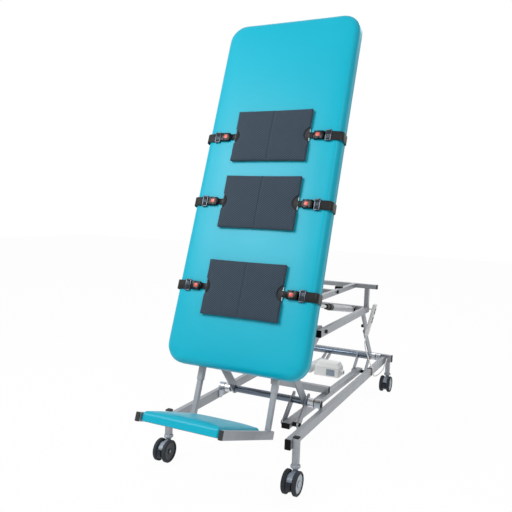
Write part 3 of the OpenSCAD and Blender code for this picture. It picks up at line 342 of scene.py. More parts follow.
# %% [markdown]
# ## Woven nylon and webbing
#
# The strap pads are covered in slate nylon twill, whose threads run in fine diagonals. Seat-belt
# webbing has ribs along its length crossed by the weft. Both weaves are drawn several times as
# coarse as the real thread, because the real one would vanish at this distance. The tape that binds
# the pads is matt and plain.

# %% Twill, webbing and tape
WAVE_PERIOD = 0.314  # A wave texture of scale 1 repeats after this distance
TWILL_MM, TWILL_TURN, WORN_MM = 8, math.radians(62), 45
RIB_MM, THREAD_MM = 3.2, 1.4


def waves(tree, place, size_mm, direction, **more):
    return add(tree, "TexWave", Vector=place, Scale=WAVE_PERIOD / size_mm, bands_direction=direction,
               out="Fac", **more)


def make_twill():
    tree, done = new_finish("slate_nylon_twill")
    place = add(tree, "TexCoord", out="Object")
    turned = add(tree, "Mapping", Vector=place, Rotation=(0, TWILL_TURN, 0), Scale=(1 / MM,) * 3)
    ridge = waves(tree, turned, TWILL_MM, "X", Distortion=0.6, Detail=1.0)
    crossing = waves(tree, turned, TWILL_MM / 1.7, "Z", Distortion=0.4, Detail=1.0)
    weave = reckon(tree, "MULTIPLY", ridge, spread(tree, crossing, 0.6, 1.0))
    threads = between(tree, weave, "#1F2B36", "#4C5D6C")
    patch = noise(tree, WORN_MM, detail=3)
    worn = between(tree, reckon(tree, "MULTIPLY", patch, 0.35), threads, "#25313D")
    return done(weave, 0.5, 0.9, Base_Color=worn, Roughness=0.75, Specular_IOR_Level=0.2,
                Sheen_Weight=0.12, Sheen_Roughness=0.5)


def make_webbing():
    tree, done = new_finish("black_webbing")
    along = add(tree, "UVMap")
    weft = waves(tree, along, RIB_MM / 1.5, "X")
    weave = reckon(tree, "MULTIPLY", waves(tree, along, RIB_MM, "Y"), spread(tree, weft, 0.55, 1.0))
    return done(weave, 0.3, 0.7, Base_Color=between(tree, weave, "#050607", "#101316"),
                Roughness=0.34, Specular_IOR_Level=0.3)


def make_binding(colour):
    tree, done = new_finish("black_binding_tape")
    thread = noise(tree, THREAD_MM)
    return done(thread, 0.2, 0.6, Base_Color=between(tree, thread, colour, shade(colour, 0.6)),
                Roughness=0.75, Sheen_Weight=0.25)


twill = make_twill()
webbing = make_webbing()
binding = make_binding("#1B2128")

# %% [markdown]
# ## Plywood
#
# The panel behind the foam is sealed birch plywood. Seen from behind, its grain runs up the board in
# long soft streaks, and a clear sealer gives it a low gloss.

# %% Plywood
GRAIN_WIDTH_MM, GRAIN_LENGTH_MM = 9, 260


def make_plywood():
    tree, done = new_finish("sealed_birch_plywood")
    streaks = surface_place(tree, (1 / GRAIN_WIDTH_MM, 1 / GRAIN_LENGTH_MM, 1 / GRAIN_LENGTH_MM))
    grain = noise(tree, 1, streaks, detail=6, roughness=0.6)
    wood = between(tree, spread(tree, grain, -0.4, 1.4), "#C69A66", "#E2C293")
    return done(grain, 0.1, 0.4, Base_Color=wood, Roughness=spread(tree, grain, 0.38, 0.52))


plywood = make_plywood()

# %% [markdown]
# ## Caster wheels
#
# One wheel is one solid in the CAD, but it shows two materials: a dark rubber tread, and a disc that
# is light on the outer wheel and painted dark on the inner one, as painted shade. The distance from
# the axle says which is which. A thin dark line marks the step, and a fainter one rings the hub.

# %% Wheels, with a tread and a disc
WHEEL_R, TREAD_DEPTH, LINE_MM, TREAD_GRAIN_MM = 57, 12, 2.5, 1.2
HUB_LINE_R, HUB_LINE_HALF = 16, 1.5


def make_wheel(name, axle, disc):
    tree, done = new_finish(name)
    radius = radius_mm(tree, axle)
    rim = WHEEL_R - TREAD_DEPTH
    is_tread = reckon(tree, "GREATER_THAN", radius, rim)
    line = reckon(tree, "COMPARE", radius, rim, LINE_MM / 2)
    hub = reckon(tree, "COMPARE", radius, HUB_LINE_R, HUB_LINE_HALF)
    body = between(tree, is_tread, disc, "#33373C")
    dark = reckon(tree, "MAXIMUM", line, reckon(tree, "MULTIPLY", hub, 0.5))
    return done(noise(tree, TREAD_GRAIN_MM), 0.05, 0.4, Specular_IOR_Level=0.22,
                Base_Color=between(tree, dark, body, "#0D0F12"),
                Roughness=spread(tree, is_tread, 0.3, 0.62))


# %% [markdown]
# ## Nodes with two finishes
#
# Some CAD nodes are an assembly in real life. The footrest rails end in black plugs, the actuators
# have black ends, and the shafts carry brighter hub rings. Each of these materials changes at a
# plane or a radius that is known from the drawing, and the change moves with the part.

# %% Finishes that change along the part
FOOT_RAIL_ENDS, PLUG_LIP = (-370, 165), 0.1
TILT_ACTUATOR = ((175, 1400, 643), (175, 232, 846), 500)
LIFT_ACTUATOR = ((-110, 1700, 175), (-110, 1010, 203.5), 510)
GLAND_L, REAR_EYE_L = 50, 22
FRONT_SHAFT, REAR_SHAFT = (0, 460, 274), (0, 1757, 249)
HUB_INNER_R, HUB_END, HUB_GAP = 21, 272, 4


def with_black_ends(name, light, dark, origin, direction, low, high, metallic):
    """A coat that turns to black plastic below and above two distances from an origin."""
    tree, done = new_finish(name)
    backwards = tuple(-v for v in direction)
    ends = reckon(tree, "MAXIMUM", beyond(tree, origin, direction, high),
                  beyond(tree, origin, backwards, -low))
    colour = between(tree, noise(tree, PATCH_MM, detail=3), light, dark)
    return done(noise(tree, PEEL_MM), PEEL_DEPTH_MM, 0.6,
                Base_Color=between(tree, ends, colour, "#17191C"),
                Roughness=spread(tree, ends, 0.34, 0.46), Metallic=spread(tree, ends, metallic, 0.0))


def make_actuator_finish(name, rear, front, length):
    axis = (on_base(*front) - on_base(*rear)).normalized()
    return with_black_ends(name, "#DDE0E2", "#CDD1D4", on_base(*rear), axis, REAR_EYE_L,
                           length - GLAND_L, metallic=0.15)


def make_shaft_finish(name, shaft):
    """Plated steel with brighter hub rings, and a dark line at the end of each hub."""
    tree, done = new_finish(name)
    hub = reckon(tree, "GREATER_THAN", radius_mm(tree, on_base(*shaft)), HUB_INNER_R)
    from_middle = reckon(tree, "ABSOLUTE", axis_mm(tree, "X"))
    seal = reckon(tree, "COMPARE", from_middle, HUB_END + HUB_GAP / 2, HUB_GAP / 2)
    steel = between(tree, hub, "#66717F", "#C9CDD2")
    marks = ground_rings(tree)
    return done(marks, RING_DEPTH_MM, 0.5, Base_Color=between(tree, seal, steel, "#111316"),
                Metallic=1.0, Roughness=spread(tree, marks, 0.18, 0.3))


footrest_coat = with_black_ends("powder_coated_footrest", COAT_LIGHT, COAT_DARK,
                                board_ruler.translation, board_ruler.col[1][:3],
                                FOOT_RAIL_ENDS[0] + PLUG_LIP, FOOT_RAIL_ENDS[1] - PLUG_LIP,
                                metallic=0.28)
tilt_finish = make_actuator_finish("tilt_actuator_housing", *TILT_ACTUATOR)
lift_finish = make_actuator_finish("lift_actuator_housing", *LIFT_ACTUATOR)
front_shaft_finish = make_shaft_finish("front_shaft_plating", FRONT_SHAFT)
rear_shaft_finish = make_shaft_finish("rear_shaft_plating", REAR_SHAFT)

# %% [markdown]
# ## The control box
#
# The box is white ABS. Its lid meets it at a fine shadow line, a blank grey-blue label plate sits
# on the front, and the socket on the right is a disc painted near black: painted shade in its hole.

# %% Control box finish
BOX_FRONT, BOX_LID_Z, SEAM_HALF, SEAM_SHADOW = 1394.6, 212, 0.7, 0.6
LABEL_X, LABEL_Z, LABEL_HALF_W, LABEL_HALF_H = 47, 181, 31, 23
SOCKET_PLACE, SOCKET_HOLE_R, SOCKET_LIP = (106, 1450, 181), 8.3, 1


def make_box_finish():
    tree, done = new_finish("white_abs_box")
    x, y, z = (axis_mm(tree, letter) for letter in "XYZ")
    seam = reckon(tree, "COMPARE", z, BOX_LID_Z, SEAM_HALF)
    in_x = reckon(tree, "COMPARE", x, LABEL_X, LABEL_HALF_W)
    in_z = reckon(tree, "COMPARE", z, LABEL_Z, LABEL_HALF_H)
    on_front = reckon(tree, "LESS_THAN", y, on_base(0, BOX_FRONT, 0).y / MM)
    label = reckon(tree, "MULTIPLY", reckon(tree, "MULTIPLY", in_x, in_z), on_front)
    # The socket is a disc painted near black: painted shade inside its hole
    in_hole = reckon(tree, "LESS_THAN", radius_mm(tree, on_base(*SOCKET_PLACE)), SOCKET_HOLE_R)
    at_end = reckon(tree, "GREATER_THAN", x, SOCKET_PLACE[0] + SOCKET_LIP)
    hole = reckon(tree, "MULTIPLY", in_hole, at_end)
    shell = between(tree, label, "#F2F5F6", "#93A2B2")
    shell = between(tree, reckon(tree, "MULTIPLY", seam, SEAM_SHADOW), shell, "#6E7479")
    fine = noise(tree, GRAIN_MM)
    return done(fine, 0.04, 0.5, Base_Color=between(tree, hole, shell, "#121417"),
                Roughness=spread(tree, fine, 0.3, 0.38))


box_finish = make_box_finish()

# %% [markdown]
# ## Dressing the hard parts
#
# The hard parts keep their shapes and only get a finish. The table reads like a parts list. The
# wheels come last, because a wheel's finish needs the place of its axle.

# %% Dress the CAD nodes
CASTERS = ("fl", "fr", "rl", "rr")
# The inner disc's dark grey is painted shade, standing in for the shadow on the inner wheels
DISC_TONES_WITH_PAINTED_SHADE = {"outer": "#B9C3CD", "inner": "#33383F"}
WEARS = {
    powder_coat: ["base_rail_left", "base_rail_right", "base_rear_crossbar", "caster_posts", "tie_rod",
                  "carriage_side_bars", "carriage_upper_frame", "board_subframe"],
    footrest_coat: ["footrest_frame"],
    plate_coat: ["front_lift_arms", "front_cranks", "rear_lift_arms", "rear_cranks", "hanger_plates"],
    ring_steel: ["shaft_bearings"],
    front_shaft_finish: ["front_lift_shaft"],
    rear_shaft_finish: ["rear_lift_shaft"],
    bright_steel: ["lift_actuator_rod", "tilt_actuator_rod"],
    black_cap: ["base_caps_and_bolts", "tie_rod_caps_and_bolts", "carriage_caps_and_bolts"],
    collar_grey: ["caster_stems"],
    hood_grey: ["caster_hood_" + c for c in CASTERS],
    pedal_navy: ["caster_pedal_" + c for c in CASTERS],
    box_finish: ["control_box"],
    white_abs: ["handset"],
    lift_finish: ["lift_actuator"],
    tilt_finish: ["tilt_actuator"],
    key_grey: ["handset_key_lift", "handset_key_tilt"],
    plywood: ["board_panel"],
}


def dress(node_name, material):
    mesh = nodes[node_name].data
    mesh.materials.clear()
    mesh.materials.append(material)


for material, names in WEARS.items():
    for name in names:
        dress(name, material)
for caster in CASTERS:
    low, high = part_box("caster_wheel_%s_outer" % caster)
    axle = (low + high) / 2
    for side, disc in DISC_TONES_WITH_PAINTED_SHADE.items():
        wheel = "wheel_%s_%s" % (caster, side)
        dress("caster_" + wheel, make_wheel(wheel, axle, disc))
print("dressed", sum(len(v) for v in WEARS.values()) + len(CASTERS) * len(DISC_TONES_WITH_PAINTED_SHADE), "nodes")

# %% [markdown]
# ## Mesh helpers
#
# Pieces on the board are modelled in the board's own ruler in millimetres, and their object carries
# the tilt. A list of points and a list of faces is enough for most of them. A box gets rounded
# edges from the bevel operator, because no moulded or pressed part has a sharp one.

# %% Helpers for meshes


def make_piece(name, points, faces, material, ruler=board_ruler, uvs=None):
    mesh = bpy.data.meshes.new(name)
    mesh.from_pydata([Vector(p) * MM for p in points], [], faces)
    mesh.update()
    if uvs:
        layer = mesh.uv_layers.new(name="UVMap")
        for loop in mesh.loops:
            layer.data[loop.index].uv = uvs[loop.vertex_index]
    clean = bmesh.new()
    clean.from_mesh(mesh)
    bmesh.ops.recalc_face_normals(clean, faces=clean.faces)
    clean.to_mesh(mesh)
    clean.free()
    mesh.polygons.foreach_set("use_smooth", [True] * len(mesh.polygons))
    mesh.materials.append(material)
    piece = show(name, mesh)
    piece.matrix_world = ruler
    print(name, len(faces), "faces")
    return piece


def rounded_block(low, high, round_mm, steps=3):
    """Points and faces of a box with rounded edges, in millimetres."""
    made = bmesh.new()
    bmesh.ops.create_cube(made, size=1)
    for v in made.verts:
        v.co = Vector([low[k] + (v.co[k] + 0.5) * (high[k] - low[k]) for k in range(3)])
    bmesh.ops.bevel(made, geom=made.edges[:], offset=round_mm, segments=steps, profile=0.5,
                    affect="EDGES")
    made.verts.index_update()
    points = [tuple(v.co) for v in made.verts]
    faces = [[v.index for v in f.verts] for f in made.faces]
    made.free()
    return points, faces


def ring_points(centre, side, other, radius, count):
    angles = [2 * math.pi * i / count for i in range(count)]
    return [centre + radius * (math.cos(a) * side + math.sin(a) * other) for a in angles]


def ring_faces(rings, count):
    """Faces that join rings of points one after another, and close both ends."""
    faces = []
    for k in range(rings - 1):
        for i in range(count):
            j = (i + 1) % count
            faces.append([k * count + i, k * count + j, (k + 1) * count + j, (k + 1) * count + i])
    last = (rings - 1) * count
    return faces + [list(range(count))[::-1], list(range(last, last + count))]


def rod(start, end, radius, sides=20, ease=0.6):
    """Points and faces of a round bar with eased ends."""
    start, end = Vector(start), Vector(end)
    axis = (end - start).normalized()
    side = axis.orthogonal().normalized()
    other = axis.cross(side)
    stations = ((start, 0), (start, ease), (end, -ease), (end, 0))
    points = []
    for place, shift in stations:
        r = radius if shift else radius - ease
        points += ring_points(place + axis * shift, side, other, r, sides)
    return points, ring_faces(len(stations), sides)


def gather(*parts):
    """Join several (points, faces) pairs into one."""
    points, faces = [], []
    for some_points, some_faces in parts:
        shift = len(points)
        points += [tuple(p) for p in some_points]
        faces += [[i + shift for i in face] for face in some_faces]
    return points, faces


def placed(part, side, up_board=0):
    """A part of the right side, mirrored for the left one, at a height on the board."""
    points, faces = part
    return [(side * p[0], p[1], p[2] + up_board) for p in points], faces


def arc(x, y, radius, degrees):
    turns = [math.radians(a) for a in degrees]
    return [(x + radius * math.cos(a), y + radius * math.sin(a)) for a in turns]


# %% [markdown]
# ## The handset cord
#
# The handset hangs on the rear end of the right side bar. Its white lead, 8 mm thick, leaves the
# bottom, crosses the base rail under a tie, and hangs in a loop to the rear crossbar. The points
# are the CAD's own route. A smooth curve runs through them, and a tube follows that curve. The
# upper stretch, which crosses two joints of the bed, is made in two pieces that meet at its middle.

# %% Cord
CORD_R = 4
UPPER_ROUTE = [
    (263, 1499, 459), (261, 1499, 449), (258, 1499, 434), (256, 1499, 416), (255, 1499, 398),
    (257, 1499, 380), (260, 1499, 364), (264, 1499, 350), (270, 1499, 334), (276, 1499, 320),
    (283, 1497, 306), (292, 1486, 292), (303, 1468, 281), (315, 1444, 272), (327, 1420, 266),
    (336, 1402, 263), (346, 1393, 260), (349, 1390, 249), (350, 1390, 236),
]
LOOP_ROUTE = [
    (350, 1390, 235), (350, 1393, 224), (350, 1402, 212), (350, 1420, 201), (350, 1450, 192),
    (350, 1498, 184), (351, 1560, 179), (351, 1620, 179), (352, 1665, 186), (352, 1700, 198),
    (352, 1730, 215), (352, 1752, 230), (352, 1770, 238), (352, 1785, 240),
]


def smooth_route(route, steps=5):
    """A Catmull-Rom curve through the route's points."""
    points = [Vector(p) for p in route]
    padded = [2 * points[0] - points[1]] + points + [2 * points[-1] - points[-2]]
    curve = []
    for a, b, c, d in zip(padded, padded[1:], padded[2:], padded[3:]):
        for i in range(steps):
            t = i / steps
            curve.append(0.5 * (2 * b + (c - a) * t + (2 * a - 5 * b + 4 * c - d) * t * t
                                + (3 * b - a - 3 * c + d) * t ** 3))
    return curve + [points[-1]]


def tube_along(path, radius, sides=14):
    points, side = [], None
    for i, p in enumerate(path):
        axis = (path[min(i + 1, len(path) - 1)] - path[max(i - 1, 0)]).normalized()
        side = (axis.orthogonal() if side is None else side - axis * side.dot(axis)).normalized()
        points += ring_points(p, side, axis.cross(side), radius, sides)
    return points, ring_faces(len(path), sides)


base_ruler = Matrix.Translation(on_base(0, 0, 0))


def make_cord(name, path):
    piece = make_piece(name, *tube_along(path, CORD_R), cord_white, base_ruler)
    length = sum((b - a).length for a, b in zip(path, path[1:])) * MM
    world = [on_base(*p) for p in path]
    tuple(world[0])
    print(name, round(length, 3), "m")
    return piece


upper = smooth_route(UPPER_ROUTE)
half = len(upper) // 2
cord_top = make_cord("handset_cord_top", upper[:half + 1])
cord_middle = make_cord("handset_cord_middle", upper[half:])
cord_loop = make_cord("handset_cord_hanging_loop", smooth_route(LOOP_ROUTE))
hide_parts("handset_cord_upper")
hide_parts("handset_cord_upper")
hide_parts("handset_cord_loop")
on_base(*upper[2])
on_base(*upper[half - 4])
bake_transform(cord_top)
on_base(*upper[half + 4])
on_base(*upper[-3])
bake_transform(cord_middle)
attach(cord_loop, "base")

# %% [markdown]
# ## Cushions
#
# A foam cushion is a slab whose front edge is rounded by the foam, whose face swells a little, and
# whose sides pull in between the corners, where the cover is tightest. The mesh is a grid of rows
# and columns packed closely near the edges. The distance to the outline rounds the edge.

# %% Cushion maker
ROUND_STEPS = [0, 0.04, 0.13, 0.3, 0.5, 0.74, 1]  # Shares of the rounded edge
NOTCH_STEPS = (0.15, 0.35, 0.55, 0.75, 0.88, 0.96, 1.0, 1.03)  # Shares of the notch's half height
BELT_SHARES = (0.12, 0.5, 0.88)  # Shares of the way from the face to the back, down the side
SEAM_WIDTH, NEAR = 3, 0.01


def edge_stations(half_size, edge_round, count, extra=()):
    """Places from -half to +half, close together at both ends."""
    near = [half_size - edge_round * s for s in ROUND_STEPS]
    inner = half_size - edge_round
    middle = [inner * (2 * i / count - 1) for i in range(1, count)]
    return sorted(set(round(v, 4) for v in [-v for v in near] + near + middle + list(extra)))


def make_cushion(name, width, height, material, ruler, *, corner, edge_round, back, front, crown, draw,
                 counts, notch=None, seam=0.0, sag=None, tuck=3.0, side_material=None):
    """A padded slab between two depths. front is the smaller depth, and the face swells past it."""
    half_w, half_h = width / 2, height / 2

    def reach(z):
        """Half the width at a height, inside the rounded corners and the notches."""
        past = abs(z) - (half_h - corner)
        at = half_w if past <= 0 else half_w - corner + math.sqrt(max(corner * corner - past * past, 0))
        if notch and abs(z) < notch[0]:
            at = min(at, half_w + notch[0] - notch[1] - math.sqrt(notch[0] ** 2 - z * z))
        return at

    def inside(x, z):
        """Distance from the outline, positive inside."""
        dx, dz = half_w - abs(x), half_h - abs(z)
        if dx < corner and dz < corner:
            return corner - math.hypot(corner - dx, corner - dz)
        d = min(dx, dz)
        if notch:
            d = min(d, math.hypot(abs(x) - (half_w + notch[0] - notch[1]), z) - notch[0])
        return d

    arcs = []
    if corner > edge_round:
        arcs = [half_h - corner + corner * math.sin(math.radians(a)) for a in range(10, 90, 10)]
    if notch:
        edge = notch[0] * math.sin(math.acos(1 - notch[1] / notch[0]))
        arcs += [edge * s for s in NOTCH_STEPS]
    rows = edge_stations(half_h, edge_round, counts[1], arcs + [-v for v in arcs])
    ridge = [v for s in (0, 0.5, 1, 2) for v in (SEAM_WIDTH * s, -SEAM_WIDTH * s)] if seam else []
    columns = edge_stations(half_w, edge_round, counts[0], ridge)
    face, rear = [], []
    for z in rows:
        limit = reach(z)
        for x in columns:
            if seam and abs(x) <= 2 * SEAM_WIDTH + NEAR:
                at = x
            elif abs(x) > half_w - edge_round - NEAR:
                at = math.copysign(limit - (half_w - abs(x)), x)
            else:
                at = x * (limit - edge_round) / (half_w - edge_round)
            d = max(inside(at, z), 0)
            drop = 0
            if d < edge_round:
                drop = edge_round - math.sqrt(max(edge_round ** 2 - (edge_round - d) ** 2, 0))
            swell = crown * (1 - abs(at / half_w) ** 4) * (1 - abs(z / half_h) ** 6)
            if seam:
                swell -= seam * math.exp(-(at / SEAM_WIDTH) ** 2) * min(1, d / edge_round)
            if sag:
                swell += sag(at, z) * min(1, d / (2 * edge_round))
            px = at * (1 - draw / half_w * (1 - (z / half_h) ** 2))
            pz = z * (1 - draw / half_h * (1 - (at / half_w) ** 2))
            face.append((px, front + drop - swell, pz))
            rear.append((px * (1 - tuck / half_w), back, pz * (1 - tuck / half_h)))
    across, count = len(columns), len(face)
    points = face + rear
    faces = []
    for r in range(len(rows) - 1):
        for c in range(across - 1):
            a = r * across + c
            faces.append([a, a + 1, a + across + 1, a + across])
            faces.append([count + a, count + a + across, count + a + across + 1, count + a + 1])
    loop = [*range(across), *(r * across + across - 1 for r in range(1, len(rows))),
            *range(count - 2, count - across - 1, -1),
            *(r * across for r in range(len(rows) - 2, 0, -1))]
    belts = [loop]
    for share in BELT_SHARES:
        start = len(points)
        for i in loop:
            f, b = face[i], rear[i]
            inward = tuck * share ** 6
            points.append((f[0] * (1 - inward / half_w), f[1] + (b[1] - f[1]) * share,
                           f[2] * (1 - inward / half_h)))
        belts.append(list(range(start, start + len(loop))))
    belts.append([count + i for i in loop])
    first_side = len(faces)
    for first, second in zip(belts, belts[1:]):
        for i in range(len(loop)):
            j = (i + 1) % len(loop)
            faces.append([first[i], first[j], second[j], second[i]])
    piece = make_piece(name, points, faces, material, ruler)
    if side_material:
        piece.data.materials.append(side_material)
        for polygon in list(piece.data.polygons)[first_side:]:
            polygon.material_index = 1
    return piece


# %% [markdown]
# ## Foam that presses on its cover
#
# Foam pushes a cover outwards and the seams hold it back. The cloth solver does just that, with the
# back pinned to its board, a little pressure inside and no gravity. Its result is capped, so the
# pad keeps its size, and is then written into the mesh and subdivided once.

# %% Puff a cushion
SIM_FRAMES = 20


def evaluated(piece):
    return piece.evaluated_get(bpy.context.evaluated_depsgraph_get())


def puff(piece, back_mm, pressure, cap_mm, slack):
    scene = bpy.context.scene
    start = [v.co.copy() for v in piece.data.vertices]
    pins = piece.vertex_groups.new(name="stapled")
    backs = [v.index for v in piece.data.vertices if abs(v.co.y - back_mm * MM) < 0.1 * MM]
    pins.add(backs, 1.0, "REPLACE")
    cloth = piece.modifiers.new("cover", "CLOTH")
    cover = cloth.settings
    cover.quality, cover.mass = 6, 0.3
    cover.tension_stiffness = cover.compression_stiffness = 20
    cover.shear_stiffness, cover.bending_stiffness = 8, 1.5
    cover.use_pressure, cover.uniform_pressure_force = True, pressure
    cover.effector_weights.gravity = 0
    cover.vertex_group_mass = "stapled"
    cover.shrink_min = -slack
    cloth.point_cache.frame_start, cloth.point_cache.frame_end = 1, SIM_FRAMES
    for frame_number in range(1, SIM_FRAMES + 1):
        scene.frame_set(frame_number)
    moved = 0
    ends = [v.co.copy() for v in evaluated(piece).data.vertices]
    for vertex, first, last in zip(piece.data.vertices, start, ends):
        step = last - first
        step *= min(1, cap_mm * MM / max(step.length, 1e-9))
        vertex.co = first + step
        moved = max(moved, step.length)
    piece.modifiers.clear()
    piece.vertex_groups.clear()
    scene.frame_set(1)
    print(piece.name, "puffed by up to", round(moved / MM, 2), "mm")
    smooth = piece.modifiers.new("smooth", "SUBSURF")
    smooth.levels = smooth.render_levels = 1
    flat, piece.data = piece.data, bpy.data.meshes.new_from_object(evaluated(piece))
    piece.modifiers.clear()
    bpy.data.meshes.remove(flat)


# %% [markdown]
# ## The board's cushion
#
# The board is 780 by 1950 mm, with 50 mm of foam under one stretched sheet of vinyl. The face is
# almost flat, so its soft reflections drift only a little, and the edge is rounded by about 34 mm.
# The vinyl goes on round the edge of the plywood and is stapled to its back.

# %% Board cushion
BOARD_W, BOARD_L, FOAM, COVER_BACK = 780, 1950, 50, 64


def board_swell(x, z):
    """Slow hollows of a few tenths of a millimetre, from the foam and the stretch of the vinyl."""
    return 0.5 * math.sin(x / 130 + 0.6) * math.sin(z / 310 + 1.1) + 0.3 * math.sin(x / 71 - z / 190)


board_middle = board_ruler @ Matrix.Translation((0, 0, BOARD_L / 2 * MM))
board_cushion = make_cushion("board_cushion", BOARD_W, BOARD_L, vinyl, board_middle, corner=105,
                             edge_round=34, back=COVER_BACK, front=0, crown=5, draw=2,
                             counts=(24, 46), sag=board_swell, tuck=0.5)
puff(board_cushion, COVER_BACK, pressure=3, cap_mm=2.5, slack=0.002)
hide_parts("board_upholstery")
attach(board_cushion, "board")

# %% [markdown]
# ## The strap pads
#
# Each body strap ends in a flat pad of dense foam under twill, sewn down the middle. Half-moon
# notches in its sides leave room for the chrome bar that the strap pulls on. The corners are nearly
# square. A dark tape binds the edge of the pad and of the notch.

# %% Strap pads
STRAPS = {"chest": 1232, "hip": 862, "knee": 402}
PAD_W, PAD_H, PAD_SHIFT = 430, 288, 6
PAD_BACK, PAD_FRONT = -9.5, -29
NOTCH = NOTCH_R, NOTCH_DEPTH = 44, 28
LINING_R, LINING_BACK, LINING_FRONT, LINING_DEG = NOTCH_R + 2, -14, -20, 64
SIDES = {"left": -1, "right": 1}


def pad_wrinkle(seed):
    def wrinkle(x, z):
        slow = math.sin(x / 37 + seed) * math.sin(z / 41 - seed)
        return 0.5 * slow + 0.35 * math.sin((x + 2 * z) / 29 + 3 * seed)
    return wrinkle


def notch_lining():
    """A dark half moon of lining behind the bar, a little larger than the notch."""
    centre = PAD_W / 2 + NOTCH_R - NOTCH_DEPTH
    rim = arc(centre, 0, LINING_R, range(180 + LINING_DEG, 179 - LINING_DEG, -8))
    points = [(x, depth, z) for depth in (LINING_FRONT, LINING_BACK) for x, z in rim]
    count = len(rim)
    faces = [list(range(count)), list(range(2 * count - 1, count - 1, -1))]
    faces += [[i, (i + 1) % count, count + (i + 1) % count, count + i] for i in range(count)]
    return points, faces


for number, (where, height) in enumerate(STRAPS.items()):
    ruler = board_ruler @ Matrix.Translation((PAD_SHIFT * MM, 0, height * MM))
    pad = make_cushion("strap_pad_" + where, PAD_W, PAD_H, twill, ruler, corner=5, edge_round=4.5,
                       back=PAD_BACK, front=PAD_FRONT, crown=3.5, draw=1.5, counts=(34, 26),
                       notch=NOTCH, seam=3.2, sag=pad_wrinkle(number + 0.4), side_material=binding)
    puff(pad, PAD_BACK, pressure=3, cap_mm=1.8, slack=0.004)
    for hand, side in SIDES.items():
        lining = make_piece("notch_lining_%s_%s" % (where, hand), *placed(notch_lining(), side),
                            binding, ruler)
        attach(lining, "board")
    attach(pad, "board")
    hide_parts("strap_pads")

# %% [markdown]
# ## Webbing
#
# The strap is a 48 mm band. From the slider it runs over the rounded edge of the board, down the
# side and round to the back of the panel. A ribbon is a short list of stations swept across its
# width. Its texture map is in millimetres along and across, so the weave follows every bend.

# %% Webbing
WEB_W, WEB_T = 48, 2.4
HEM, HEM_THIN = 1.5, 0.35
WEB_GAP, WEB_CORNER, BACK_CORNER, PLY_T = 1.3, 20, 8, 15


def ribbon(path, width, height):
    """Points, faces and texture places of a flat band that follows [x, depth] stations."""
    stations = [Vector((p[0], p[1], 0)) for p in path]
    points, uvs, length = [], [], 0
    across = [-width / 2, -width / 2 + HEM, 0, width / 2 - HEM, width / 2]
    thin = [HEM_THIN, 1, 1, 1, HEM_THIN]
    for i, p in enumerate(stations):
        if i:
            length += (p - stations[i - 1]).length
        axis = (stations[min(i + 1, len(stations) - 1)] - stations[max(i - 1, 0)]).normalized()
        out = Vector((axis.y, -axis.x, 0))
        for sign in (1, -1):
            for v, share in zip(across[::sign], thin):
                q = p + out * (sign * WEB_T / 2 * share)
                points.append((q.x, q.y, v + height))
                uvs.append((length, v))
    return points, ring_faces(len(stations), 2 * len(across)), uvs


def webbing_path():
    """From the slider over the face, round the front edge, down the side and round to the back."""
    side = WEB_GAP + WEB_T / 2
    edge, back = BOARD_W / 2 + side, FOAM + PLY_T + side
    path = [(331, -10.5), (336, -9.5), (345, -7.5), (357, -5.2), (edge - WEB_CORNER - 4, -side - 1.2)]
    path += arc(edge - WEB_CORNER, WEB_CORNER - side, WEB_CORNER, range(-75, 1, 15))
    path += [(edge - 1, 34), (edge - 0.5, 48)]
    path += arc(edge - BACK_CORNER, back - BACK_CORNER, BACK_CORNER, (0, 22, 45, 67, 90))
    return path + [(350, back), (300, back)]


def add_webbing(name, path, height, side, width=WEB_W, replaces=None):
    points, faces, uvs = ribbon(path, width, height)
    points = [(side * x, y, z) for x, y, z in points]
    piece = make_piece(name, points, faces, webbing, uvs=uvs)
    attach(piece, "board")
    if replaces:
        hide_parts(replaces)


STRAP_ENDS = [("_%s_%s" % (where, hand), height, side)
              for where, height in STRAPS.items() for hand, side in SIDES.items()]
for tag, *at in STRAP_ENDS:
    add_webbing("webbing" + tag, webbing_path(), *at, replaces="strap_webbing")

# %% [markdown]
# ## Buckles, sliders and bars
#
# A press-button buckle as in a car joins the pad to the strap. It is a black nylon shell with a
# square red button in a pale frame. Beside it a ladder-like slider sets the length, with webbing
# folded over its middle bar. A steel tongue hooks the chrome bar in the pad's notch.

# %% Buckle parts
FACE = -5.3
BUCKLE_X, BUCKLE_L, BUCKLE_W, BUCKLE_T = 242, 54, 44, 18
TOP, TONGUE_DEPTH = FACE - BUCKLE_T, FACE - BUCKLE_T / 2
BUTTON_X, BUTTON_L, BUTTON_W = BUCKLE_X + BUCKLE_L * 0.42, 20, 18
BUTTON_RISE, BUTTON_FOOT = 2.5, 4.8  # The well's floor is 3.2 mm under the foot, and the travel 3 mm
WELL_GAP, FRAME_W, FRAME_RISE = 0.4, 3, 1.2
WELL_X = (BUTTON_X - BUTTON_L / 2 - WELL_GAP, BUTTON_X + BUTTON_L / 2 + WELL_GAP)
WELL_Z = BUTTON_W / 2 + WELL_GAP
SLIDER_X, SLIDER_L, SLIDER_W, SLIDER_T = 302, 32, 60, 12
SLIDER_BAR, SLIDER_RAIL = 6, 5.5
BAR_HALF_L, BAR_R, LOOP_R = 33, 3.4, 5
FOLDED_W, TAB_W = 44, 30


def buckle_shell():
    half = BUCKLE_W / 2
    lower = rounded_block((BUCKLE_X, TOP + 8, -half), (BUCKLE_X + BUCKLE_L, FACE, half), 3)
    ends = [rounded_block((x0, TOP, -half), (x1, TOP + 10, half), 2.5)
            for x0, x1 in ((BUCKLE_X, WELL_X[0]), (WELL_X[1], BUCKLE_X + BUCKLE_L))]
    sides = [rounded_block((WELL_X[0] - 3, TOP + 0.2, z0), (WELL_X[1] + 3, TOP + 10, z1), 1.5)
             for z0, z1 in ((-half, -WELL_Z), (WELL_Z, half))]
    lip = rounded_block((BUCKLE_X - 4, TOP + 4, -14), (BUCKLE_X + 3, FACE - 3, 14), 1.5)
    return gather(lower, *ends, *sides, lip)


